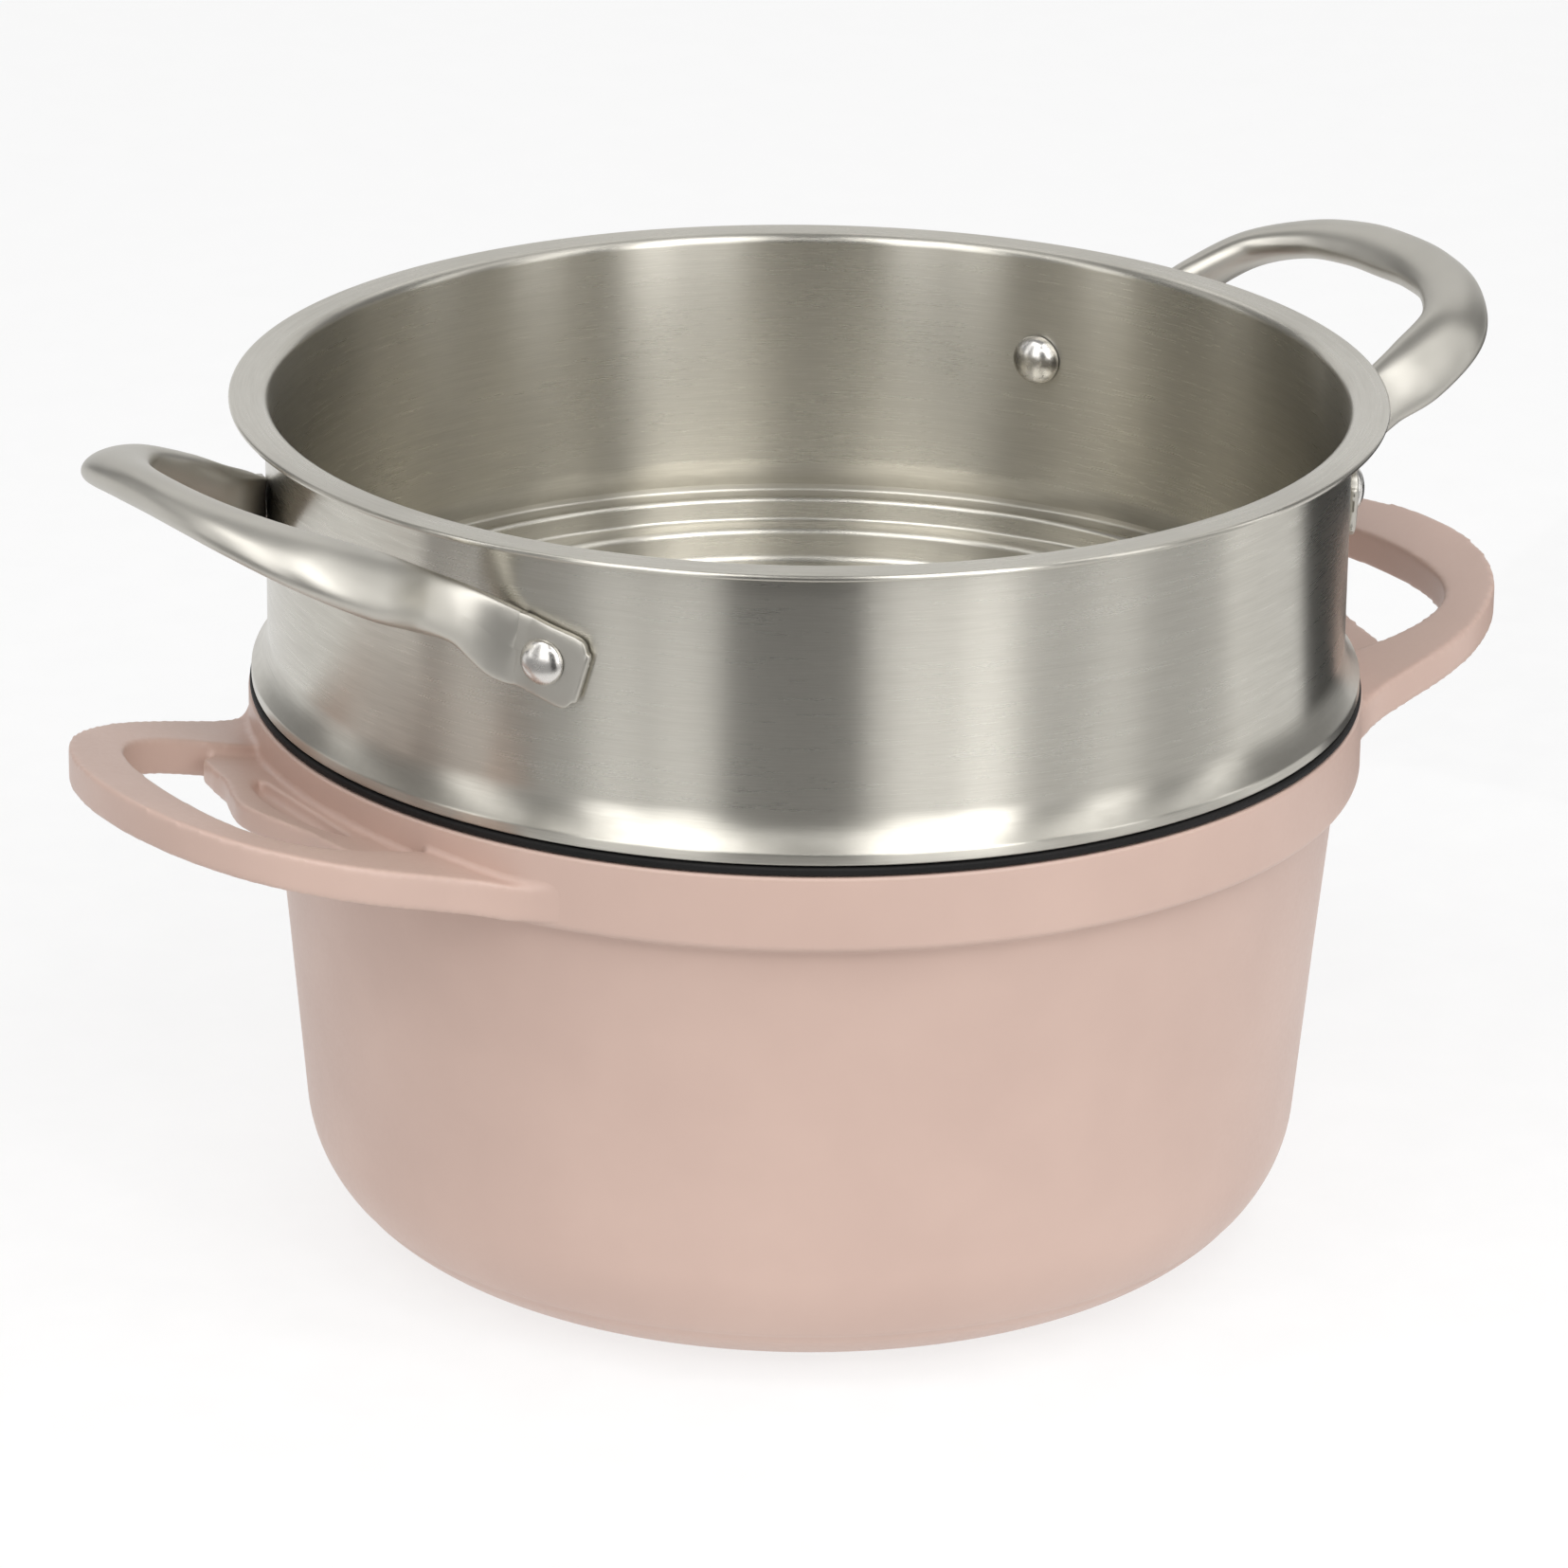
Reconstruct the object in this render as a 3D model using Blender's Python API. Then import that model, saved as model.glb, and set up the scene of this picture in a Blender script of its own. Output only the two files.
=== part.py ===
"""Cast casserole pot with a lift-off steamer insert.

The pot is one casting with two loop handles. A stainless steel disc lies in the recess under its
base. The steamer is a drawn steel shell that stands on the pot's rim through a silicone seal
ring, and carries two tube handles, each held by two rivets.

Frame: metres, +Z up, origin on the pot's axis in the plane that it stands on, pot handles on X.
"""

import math

import bmesh
import bpy
from mathutils import Matrix, Vector

# Fits and facets
SEAT_GAP = 0.0003
ROUND_STEPS = 64
SMALL_ROUND_STEPS = 12
LOOP_SIDES = 12
SHARP_ANGLE = math.radians(35)

# Pot casting
POT_HEIGHT = 0.1260
COLLAR_RADIUS = 0.1252
COLLAR_HEIGHT = 0.0162
COLLAR_STEP = 0.0048
COLLAR_EDGE = 0.0022
RIM_ROUND = 0.0010
RIM_WIDTH = 0.0050
BODY_SLOPE = 0.095
BODY_CORNER = 0.0310
BODY_WALL = 0.0036
INNER_CORNER = 0.0260
FLOOR_THICKNESS = 0.0055
MOUTH_DEPTH = 0.0085
SEAT_LEDGE = 0.0028

# Base
FOOT_WIDTH = 0.00765
DISC_THICKNESS = 0.0016
DISC_CLEARANCE = 0.0004
FOOT_SINK = 0.0004

# Cast loop handles
HANDLE_LENGTH = 0.0520
HANDLE_HALF_WIDTH = 0.0556
HANDLE_ARM_WIDTH = 0.0166
HANDLE_GRIP_WIDTH = 0.0142
HANDLE_THICKNESS = 0.0084
HANDLE_DROP = 0.0047
HANDLE_SLOPE = 0.240
HANDLE_FLARE_ANGLE = math.radians(34.0)
HANDLE_FLARE_DEPTH = 0.0004
HANDLE_ROOT_ANGLE = math.radians(32.5)
HANDLE_ROOT_DEPTH = 0.0028
FINGER_OVERRUN = 0.0023
HANDLE_EDGE = 0.0015
WEB_DROP = 0.0027
WEB_LIFT = 0.0002
WEB_LENGTH = 0.0193
WEB_OVERLAP = 0.0010
DISH_DEPTH = 0.0016
DISH_SETBACK = 0.0033
DISH_LENGTH = 0.0079
DISH_HALF_WIDTH = 0.0205

# Seal ring
SEAL_THICKNESS = 0.0018
SEAL_INSET = 0.0003
SEAL_SKIRT_WALL = 0.0009
SEAL_SKIRT_DEPTH = 0.0026

# Steamer shell
SHEET = 0.0008
STEAMER_HEIGHT = 0.0659
RIM_FLANGE_WIDTH = 0.0088
RIM_BEND = 0.0014
RIM_HEM = 0.0014
LIP_INSET = 0.0007
LIP_WIDTH = 0.0045
LIP_HEIGHT = 0.0026
FLARE_HEIGHT = 0.0106
SPIGOT_CLEARANCE = 0.0003
SPIGOT_DEPTH = 0.0034
FLOOR_LEDGE_WIDTH = 0.0069
FLOOR_STEP_DEPTH = 0.0080
FLOOR_FILLET = 0.0030
STEAMER_TURN = math.radians(2.2)

# Steam holes in the steamer's floor
HOLE_RADIUS = 0.0021
HOLE_STEPS = 8
HOLE_RINGS = 5
HOLE_MARGIN = 0.0158
HOLE_RING_PITCH = 0.0190
HOLES_PER_RING_STEP = 5
OUTER_HOLE_COUNT = 24
HOLE_START = math.radians(10.4)

# Steamer handles
RIVET_ANGLE = math.radians(28.4)
RIVET_HEIGHT = 0.0398
TAB_THICKNESS = 0.0022
TAB_HALF_WIDTH = 0.0082
TAB_OVERHANG = 0.0086
TAB_CORNER = 0.0022
TAB_LENGTH = 0.0085
TAB_LIFT = 0.0011
TAB_SLANT = 0.300
TUBE_HALF_THICKNESS = 0.0050
TUBE_HALF_WIDTH = 0.0070
LOOP_LENGTH = 0.0452
LOOP_HALF_WIDTH = 0.0420
LOOP_RISE = 0.470
LOOP_LIFT = 0.0028

# Rivets
SHANK_RADIUS = 0.0024
OUTER_HEAD_RADIUS = 0.0046
OUTER_HEAD_HEIGHT = 0.0022
INNER_HEAD_RADIUS = 0.0058
INNER_HEAD_HEIGHT = 0.0038
HEAD_GAP = 0.00045

# Colours
PINK = (0.66, 0.42, 0.36)
STEEL = (0.56, 0.54, 0.51)
BLACK = (0.012, 0.010, 0.010)

# Radii that follow from the sizes above
BODY_TOP_RADIUS = COLLAR_RADIUS - COLLAR_STEP
MOUTH_RADIUS = COLLAR_RADIUS - RIM_WIDTH
BASE_RADIUS = (BODY_TOP_RADIUS - BODY_SLOPE * (POT_HEIGHT - COLLAR_HEIGHT - BODY_CORNER)
               - BODY_CORNER * math.cos(math.atan(BODY_SLOPE)))
DISC_RADIUS = BASE_RADIUS - FOOT_WIDTH - DISC_CLEARANCE
HANDLE_REACH = COLLAR_RADIUS + HANDLE_LENGTH
HANDLE_ROOT_RADIUS = COLLAR_RADIUS - HANDLE_ROOT_DEPTH
FINGER_HALF_WIDTH = HANDLE_HALF_WIDTH - HANDLE_ARM_WIDTH
FINGER_START_X = math.sqrt(HANDLE_ROOT_RADIUS ** 2 - FINGER_HALF_WIDTH ** 2) - FINGER_OVERRUN
WEB_REACH = COLLAR_RADIUS + WEB_LENGTH
WEB_HALF_WIDTH = FINGER_HALF_WIDTH + WEB_OVERLAP
DISH_INNER_X = COLLAR_RADIUS + DISH_SETBACK
SEAL_RADIUS = COLLAR_RADIUS - SEAL_INSET
LIP_RADIUS = COLLAR_RADIUS - LIP_INSET
STEAMER_RADIUS = LIP_RADIUS - LIP_WIDTH
RIM_FLANGE_RADIUS = STEAMER_RADIUS + RIM_FLANGE_WIDTH
WALL_RADIUS = STEAMER_RADIUS + SHEET
SPIGOT_RADIUS = MOUTH_RADIUS - 2 * SPIGOT_CLEARANCE - SEAL_SKIRT_WALL
FLOOR_STEP_RADIUS = SPIGOT_RADIUS - FLOOR_LEDGE_WIDTH
OUTER_HOLE_RING = FLOOR_STEP_RADIUS - HOLE_MARGIN
LOOP_REACH = WALL_RADIUS + LOOP_LENGTH
TAB_INNER_RADIUS = WALL_RADIUS + SEAT_GAP
TAB_MID_RADIUS = TAB_INNER_RADIUS + TAB_THICKNESS / 2

# Heights that follow from the sizes above
SEAL_BOTTOM = POT_HEIGHT + SEAT_GAP
SEAL_TOP = SEAL_BOTTOM + SEAL_THICKNESS
LIP_BOTTOM = SEAL_TOP + SEAT_GAP
STEAMER_TOP = LIP_BOTTOM + STEAMER_HEIGHT
COLLAR_BOTTOM = POT_HEIGHT - COLLAR_HEIGHT
HANDLE_BEND_X = COLLAR_RADIUS + (HANDLE_DROP + HANDLE_THICKNESS - COLLAR_HEIGHT) / HANDLE_SLOPE
RIVET_Z = LIP_BOTTOM + RIVET_HEIGHT


def clear_scene():
    for item in list(bpy.data.objects):
        bpy.data.objects.remove(item, do_unlink=True)


def make_material(name, colour, roughness, metallic):
    material = bpy.data.materials.new(name)
    material.use_nodes = True
    shader = material.node_tree.nodes["Principled BSDF"]
    shader.inputs["Base Color"].default_value = (*colour, 1.0)
    shader.inputs["Roughness"].default_value = roughness
    shader.inputs["Metallic"].default_value = metallic
    return material


def add_object(name, shape, material=None):
    """Closes a bmesh into a smooth-shaded object with its faces pointing out."""
    bmesh.ops.recalc_face_normals(shape, faces=shape.faces)
    mesh = bpy.data.meshes.new(name)
    shape.to_mesh(mesh)
    shape.free()
    item = bpy.data.objects.new(name, mesh)
    bpy.context.scene.collection.objects.link(item)
    mesh.shade_smooth()
    mesh.set_sharp_from_angle(angle=SHARP_ANGLE)
    if material:
        mesh.materials.append(material)
    return item


def mark_tool(item):
    item.hide_render = True
    item.display_type = "WIRE"
    return item


def add_boolean(item, tool, operation):
    modifier = item.modifiers.new(operation.title(), "BOOLEAN")
    modifier.operation = operation
    modifier.solver = "EXACT"
    modifier.object = tool


def arc(centre, radius, start, end, steps):
    """Points of an arc in the profile plane, angles in degrees from the outward direction."""
    points = []
    for step in range(steps + 1):
        angle = math.radians(start + (end - start) * step / steps)
        points.append((centre[0] + radius * math.cos(angle), centre[1] + radius * math.sin(angle)))
    return points


def turned(profile, steps=ROUND_STEPS):
    """Spins a closed outline of (radius, height) points round Z."""
    shape = bmesh.new()
    corners = [shape.verts.new((radius, 0.0, height)) for radius, height in profile]
    edges = [shape.edges.new((a, b)) for a, b in zip(corners, corners[1:] + corners[:1])
             if max(a.co.x, b.co.x) > 1e-6]
    bmesh.ops.spin(shape, geom=corners + edges, cent=(0, 0, 0), axis=(0, 0, 1),
                   angle=math.tau, steps=steps, use_merge=True)
    bmesh.ops.remove_doubles(shape, verts=shape.verts, dist=1e-6)
    bmesh.ops.dissolve_degenerate(shape, edges=shape.edges, dist=1e-7)
    return shape


def smooth_path(points, steps):
    """A Catmull-Rom curve through the points, with the same number of steps in each span."""
    vectors = [Vector(point) for point in points]
    padded = [2 * vectors[0] - vectors[1]] + vectors + [2 * vectors[-1] - vectors[-2]]
    path = []
    for before, start, end, after in zip(padded, padded[1:], padded[2:], padded[3:]):
        for step in range(steps):
            t = step / steps
            path.append(0.5 * (2 * start + (end - before) * t
                               + (2 * before - 5 * start + 4 * end - after) * t ** 2
                               + (3 * start - before - 3 * end + after) * t ** 3))
    path.append(vectors[-1])
    return path


def smooth_sizes(sizes, steps):
    """Sizes between stations, blended in a straight line."""
    blended = []
    for start, end in zip(sizes, sizes[1:]):
        for step in range(steps):
            t = step / steps
            blended.append(tuple(a + (b - a) * t for a, b in zip(start, end)))
    blended.append(sizes[-1])
    return blended


def mirrored(points):
    """A half outline that ends on the X axis, followed by its mirror image."""
    return list(points) + [(x, -y) for x, y in reversed(points[:-1])]


def smooth_outline(half, steps):
    """The whole plan outline, rounded, from its half."""
    flat = [(x, y, 0.0) for x, y in mirrored(half)]
    return [(point.x, point.y) for point in smooth_path(flat, steps)]


# Pot casting

def pot_profile():
    slope_angle = -math.degrees(math.atan(BODY_SLOPE))
    recess_radius = DISC_RADIUS + DISC_CLEARANCE
    recess_height = DISC_THICKNESS + FOOT_SINK + SEAT_GAP
    inner_top = POT_HEIGHT - MOUTH_DEPTH - SEAT_LEDGE / 2
    inner_top_radius = (BODY_TOP_RADIUS + BODY_SLOPE * (inner_top - COLLAR_BOTTOM)) - BODY_WALL
    inner_low_centre = (inner_top_radius - BODY_SLOPE * (inner_top - FLOOR_THICKNESS - INNER_CORNER)
                        - INNER_CORNER * math.cos(math.atan(BODY_SLOPE)),
                        FLOOR_THICKNESS + INNER_CORNER)
    outside = [(0.0, recess_height), (recess_radius, recess_height), (recess_radius, 0.0)]
    outside += arc((BASE_RADIUS, BODY_CORNER), BODY_CORNER, -90, slope_angle, 8)
    outside += [
        (BODY_TOP_RADIUS, COLLAR_BOTTOM - COLLAR_EDGE),
        (BODY_TOP_RADIUS + 0.35 * (COLLAR_RADIUS - BODY_TOP_RADIUS), COLLAR_BOTTOM - 0.5 * COLLAR_EDGE),
        (COLLAR_RADIUS - 0.25 * COLLAR_EDGE, COLLAR_BOTTOM),
        (COLLAR_RADIUS, COLLAR_BOTTOM + COLLAR_EDGE),
    ]
    outside += arc((COLLAR_RADIUS - RIM_ROUND, POT_HEIGHT - RIM_ROUND), RIM_ROUND, 0, 90, 2)
    inside = [(MOUTH_RADIUS, POT_HEIGHT), (MOUTH_RADIUS, POT_HEIGHT - MOUTH_DEPTH),
              (inner_top_radius, POT_HEIGHT - MOUTH_DEPTH - SEAT_LEDGE)]
    inside += arc(inner_low_centre, INNER_CORNER, slope_angle, -90, 6)
    inside.append((0.0, FLOOR_THICKNESS))
    return outside + inside


def spread(shares, start_x, end_x, half_width):
    """Half outline points from their shares of the length and of the half width."""
    return [(start_x + along * (end_x - start_x), across * half_width) for along, across in shares]


def handle_outline():
    """Half outline of a cast handle in plan, from its flared root in the collar to its tip."""
    radius = COLLAR_RADIUS - HANDLE_FLARE_DEPTH
    root_x, root_y = radius * math.cos(HANDLE_FLARE_ANGLE), radius * math.sin(HANDLE_FLARE_ANGLE)
    flare_width = root_y - HANDLE_HALF_WIDTH
    line = [(root_x + along * (HANDLE_REACH - root_x), HANDLE_HALF_WIDTH + share * flare_width)
            for along, share in ((0.0, 1.0), (0.098, 0.465), (0.206, 0.155))]
    line += spread(((0.3555, 1.0), (0.518, 0.957), (0.6745, 0.869), (0.824, 0.710), (0.925, 0.495),
                    (0.981, 0.255), (1.0, 0.0)), root_x, HANDLE_REACH, HANDLE_HALF_WIDTH)
    return line


def finger_outline():
    """Half outline of the finger hole, which runs back under the collar."""
    return spread(((0.0, 0.949), (0.280, 0.969), (0.506, 1.0), (0.7325, 0.936), (0.887, 0.744),
                   (0.969, 0.423), (1.0, 0.0)),
                  FINGER_START_X, HANDLE_REACH - HANDLE_GRIP_WIDTH, FINGER_HALF_WIDTH)


def web_outline():
    """Half outline of the low web that bulges from the collar into the finger hole."""
    return spread(((0.0, 1.0), (0.618, 0.9125), (0.744, 0.70), (0.794, 0.475), (0.927, 0.2125), (1.0, 0.0)),
                  FINGER_START_X, WEB_REACH, WEB_HALF_WIDTH)


def dish_outline():
    return spread(((0.0, 1.0), (0.57, 0.75), (0.873, 0.4), (1.0, 0.0)),
                  DISH_INNER_X, DISH_INNER_X + DISH_LENGTH, DISH_HALF_WIDTH)


def handle_top(x):
    """Height of the cast handle's top face, level near the pot and rising outwards."""
    return POT_HEIGHT - HANDLE_DROP + HANDLE_SLOPE * (max(x, HANDLE_BEND_X) - COLLAR_RADIUS)


def plate(outline, low, high, bend=True):
    """An upright slab over a plan outline; low and high give the heights at each x."""
    shape = bmesh.new()
    shape.faces.new([shape.verts.new((point[0], point[1], 0.0)) for point in outline])
    if bend:
        bmesh.ops.triangulate(shape, faces=shape.faces)
        bmesh.ops.bisect_plane(shape, geom=shape.verts[:] + shape.edges[:] + shape.faces[:],
                               plane_co=(HANDLE_BEND_X, 0, 0), plane_no=(1, 0, 0), dist=1e-7)
    base = list(shape.verts)
    faces = list(shape.faces)
    raised = bmesh.ops.extrude_face_region(shape, geom=faces)["geom"]
    top = [item for item in raised if isinstance(item, bmesh.types.BMVert)]
    for vert in base:
        vert.co.z = low(vert.co.x)
    for vert in top:
        vert.co.z = high(vert.co.x)
    bmesh.ops.recalc_face_normals(shape, faces=shape.faces)
    bmesh.ops.dissolve_limit(shape, angle_limit=math.radians(0.5), verts=[], edges=shape.edges)
    return shape


def root_arc(half_angle, steps):
    """The plate's inner end, an arc inside the thickness of the collar."""
    angles = [-half_angle + 2 * half_angle * step / steps for step in range(steps + 1)]
    return [(HANDLE_ROOT_RADIUS * math.cos(a), HANDLE_ROOT_RADIUS * math.sin(a)) for a in angles]


def cast_handle(name, turn):
    """A loop handle with its finger hole and low web, ready to be joined to the pot."""
    def low(x):
        return handle_top(x) - HANDLE_THICKNESS

    def web_low(x):
        return low(x) + WEB_LIFT

    def web_top(x):
        return handle_top(x) - WEB_DROP

    def dish_low(x):
        return web_top(x) - DISH_DEPTH

    def far_below(_):
        return 0.5 * COLLAR_BOTTOM

    def far_above(_):
        return 2 * POT_HEIGHT

    arms_line = smooth_outline(handle_outline(), 2) + root_arc(HANDLE_ROOT_ANGLE, 10)
    arms = add_object(name + "_arms", plate(arms_line, low, handle_top))
    finger = plate(smooth_outline(finger_outline(), 2), far_below, far_above, bend=False)
    hole = mark_tool(add_object(name + "_finger_hole", finger))
    add_boolean(arms, hole, "DIFFERENCE")

    web_root_angle = math.asin(0.84 * WEB_HALF_WIDTH / HANDLE_ROOT_RADIUS)
    web_line = smooth_outline(web_outline(), 3) + root_arc(web_root_angle, 6)
    web = mark_tool(add_object(name + "_web", plate(web_line, web_low, web_top)))
    dish = plate(smooth_outline(dish_outline(), 3), dish_low, far_above, bend=False)
    dish_tool = mark_tool(add_object(name + "_dish", dish))
    add_boolean(web, dish_tool, "DIFFERENCE")

    bevel = arms.modifiers.new("Edges", "BEVEL")
    bevel.width = HANDLE_EDGE
    bevel.segments = 1
    bevel.limit_method = "ANGLE"
    bevel.angle_limit = math.radians(60)
    for item in (arms, hole, web, dish_tool):
        item.rotation_euler.z = turn
    return mark_tool(arms), web


def make_pot(material):
    pot = add_object("pot_body", turned(pot_profile()), material)
    for name, turn in (("handle_right", 0.0), ("handle_left", math.pi)):
        arms, web = cast_handle(name, turn)
        add_boolean(pot, web, "UNION")
        add_boolean(pot, arms, "UNION")
    return pot


def make_disc(material):
    edge = 0.25 * DISC_THICKNESS
    low, high = FOOT_SINK, FOOT_SINK + DISC_THICKNESS
    profile = [(0.0, low), (DISC_RADIUS - edge, low), (DISC_RADIUS, low + edge), (DISC_RADIUS, high),
               (0.0, high)]
    return add_object("base_disc", turned(profile), material)


# Seal ring

def make_seal(material):
    inner = MOUTH_RADIUS - SPIGOT_CLEARANCE - SEAL_SKIRT_WALL
    edge = 0.25 * SEAL_THICKNESS
    profile = [
        (inner, SEAL_BOTTOM - SEAL_SKIRT_DEPTH), (inner + SEAL_SKIRT_WALL, SEAL_BOTTOM - SEAL_SKIRT_DEPTH),
        (inner + SEAL_SKIRT_WALL, SEAL_BOTTOM), (SEAL_RADIUS - edge, SEAL_BOTTOM),
        (SEAL_RADIUS, SEAL_BOTTOM + edge), (SEAL_RADIUS, SEAL_TOP - edge), (SEAL_RADIUS - edge, SEAL_TOP),
        (inner, SEAL_TOP),
    ]
    return add_object("seal_ring", turned(profile), material)


# Steamer shell

def steamer_profile():
    """The drawn sheet from the middle of the floor up its outside, over the rim and back inside."""
    ledge_low, ledge_high = LIP_BOTTOM, LIP_BOTTOM + SHEET
    step_low = SEAL_BOTTOM - SPIGOT_DEPTH
    floor_low = step_low - FLOOR_STEP_DEPTH
    flare_top = LIP_BOTTOM + FLARE_HEIGHT
    lip_top = LIP_BOTTOM + LIP_HEIGHT
    spigot = SPIGOT_RADIUS
    outside = [(0.0, floor_low)]
    outside += arc((FLOOR_STEP_RADIUS - FLOOR_FILLET, floor_low + FLOOR_FILLET), FLOOR_FILLET, -90, 0, 3)
    outside += [(FLOOR_STEP_RADIUS, step_low), (spigot, step_low), (spigot, ledge_low),
                (LIP_RADIUS - 0.5 * SHEET, ledge_low), (LIP_RADIUS, ledge_low + 0.5 * SHEET),
                (LIP_RADIUS, lip_top)]
    outside += flare(LIP_RADIUS, WALL_RADIUS, lip_top, flare_top)
    outside += arc((WALL_RADIUS + RIM_BEND, STEAMER_TOP - SHEET - RIM_BEND), RIM_BEND, 180, 90, 2)
    outside += [(RIM_FLANGE_RADIUS - RIM_HEM, STEAMER_TOP - SHEET),
                (RIM_FLANGE_RADIUS - RIM_HEM, STEAMER_TOP - RIM_HEM),
                (RIM_FLANGE_RADIUS - 0.3 * RIM_HEM, STEAMER_TOP - RIM_HEM),
                (RIM_FLANGE_RADIUS, STEAMER_TOP - 0.7 * RIM_HEM),
                (RIM_FLANGE_RADIUS, STEAMER_TOP - 0.3 * RIM_HEM),
                (RIM_FLANGE_RADIUS - 0.3 * RIM_HEM, STEAMER_TOP)]
    bend = RIM_BEND + SHEET
    inside = arc((STEAMER_RADIUS + bend, STEAMER_TOP - bend), bend, 90, 180, 3)
    inside += flare(STEAMER_RADIUS, LIP_RADIUS - SHEET, flare_top, lip_top)
    inside += [(LIP_RADIUS - SHEET, ledge_high), (spigot - SHEET, ledge_high),
               (spigot - SHEET, step_low + SHEET), (FLOOR_STEP_RADIUS - SHEET, step_low + SHEET)]
    fillet = FLOOR_FILLET - SHEET
    inside += arc((FLOOR_STEP_RADIUS - SHEET - fillet, floor_low + SHEET + fillet), fillet, 0, -90, 3)
    inside.append((0.0, floor_low + SHEET))
    return outside + inside


def flare(start_radius, end_radius, start_height, end_height, steps=4):
    """The concave sweep between the shell's wall and its lip, upright where it meets the wall."""
    wall_at_end = end_radius < start_radius
    points = []
    for step in range(steps + 1):
        t = step / steps
        along = t if wall_at_end else 1 - t
        share = (1 - along) ** 2
        wall = end_radius if wall_at_end else start_radius
        lip = start_radius if wall_at_end else end_radius
        points.append((wall + (lip - wall) * share, start_height + (end_height - start_height) * t))
    return points


def floor_holes():
    """Steam holes in rings, as one tool of separate round cutters."""
    shape = bmesh.new()
    floor_low = SEAL_BOTTOM - SPIGOT_DEPTH - FLOOR_STEP_DEPTH
    spots = [Vector((0, 0, 0))]
    for ring in range(HOLE_RINGS):
        radius = OUTER_HOLE_RING - ring * HOLE_RING_PITCH
        count = OUTER_HOLE_COUNT - ring * HOLES_PER_RING_STEP
        for step in range(count):
            angle = HOLE_START + STEAMER_TURN + math.tau * step / count
            spots.append(Vector((radius * math.cos(angle), radius * math.sin(angle), 0)))
    for spot in spots:
        place = Matrix.Translation(spot + Vector((0, 0, floor_low + SHEET / 2)))
        bmesh.ops.create_cone(shape, cap_ends=True, segments=HOLE_STEPS, radius1=HOLE_RADIUS,
                              radius2=HOLE_RADIUS, depth=6 * SHEET, matrix=place)
    return mark_tool(add_object("floor_holes", shape))


def rivet_places():
    """Name, angle round the axis and handle side of each rivet."""
    places = []
    for side, axis_angle in (("right", STEAMER_TURN), ("left", STEAMER_TURN + math.pi)):
        for end, offset in (("front", -RIVET_ANGLE), ("rear", RIVET_ANGLE)):
            if side == "left":
                end = "rear" if end == "front" else "front"
            places.append((f"rivet_{side}_{end}", axis_angle + offset))
    return places


def radial_frame(angle, height):
    """A frame whose Z axis points out from the pot's axis at the given angle."""
    return (Matrix.Translation((0, 0, height)) @ Matrix.Rotation(angle, 4, "Z")
            @ Matrix.Rotation(math.pi / 2, 4, "Y"))


def rivet_holes():
    """Radial cutters for the rivets' shanks through the wall and the handle tabs."""
    shape = bmesh.new()
    radius = SHANK_RADIUS + SEAT_GAP
    for _, angle in rivet_places():
        place = radial_frame(angle, RIVET_Z) @ Matrix.Translation((0, 0, WALL_RADIUS))
        bmesh.ops.create_cone(shape, cap_ends=True, segments=SMALL_ROUND_STEPS, radius1=radius,
                              radius2=radius, depth=12 * SHEET, matrix=place)
    return mark_tool(add_object("rivet_holes", shape))


def make_steamer(material, rivet_tool):
    shell = add_object("steamer_body", turned(steamer_profile()), material)
    add_boolean(shell, floor_holes(), "DIFFERENCE")
    add_boolean(shell, rivet_tool, "DIFFERENCE")
    return shell


# Steamer handles

def loop_route():
    """Stations of a tube handle from one tab's end to its tip: place and section.

    A section is half thickness, half width, squareness, lean from upright to the loop's plane, and
    roll from standing on edge at the tabs to lying flat at the tip.
    """
    wall = TAB_MID_RADIUS
    stations = []
    for along, half, off in ((-TAB_OVERHANG, 0.72, 0.0), (TAB_CORNER - TAB_OVERHANG, 1.0, 0.0),
                             (0.0, 1.0, 0.0), (0.6 * TAB_LENGTH, 1.0, 0.1 * TAB_LIFT),
                             (TAB_LENGTH, 1.0, TAB_LIFT)):
        angle = RIVET_ANGLE - along / wall
        radius = wall + off
        place = (radius * math.cos(angle), radius * math.sin(angle), RIVET_HEIGHT + TAB_SLANT * along)
        stations.append((place, (TAB_THICKNESS / 2, half * TAB_HALF_WIDTH, 6.0, 0.0, 0.0)))
    root_x = wall * math.cos(RIVET_ANGLE)
    for share_x, share_y, tube, roll in ((0.20, 1.09, 0.40, 8), (0.36, 1.01, 0.85, 20), (0.55, 1.0, 1.0, 32),
                                         (0.78, 0.90, 1.0, 48), (0.93, 0.62, 1.0, 66),
                                         (0.99, 0.30, 1.0, 82), (1.0, 0.0, 1.0, 90)):
        x = root_x + share_x * (LOOP_REACH - root_x)
        place = (x, LOOP_HALF_WIDTH * share_y, RIVET_HEIGHT + LOOP_LIFT + LOOP_RISE * (x - root_x))
        thickness = TAB_THICKNESS / 2 + (TUBE_HALF_THICKNESS - TAB_THICKNESS / 2) * tube
        width = TAB_HALF_WIDTH + (TUBE_HALF_WIDTH - TAB_HALF_WIDTH) * tube
        stations.append((place, (thickness, width, 6.0 - 4.0 * tube, tube, math.radians(roll))))
    return stations


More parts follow.
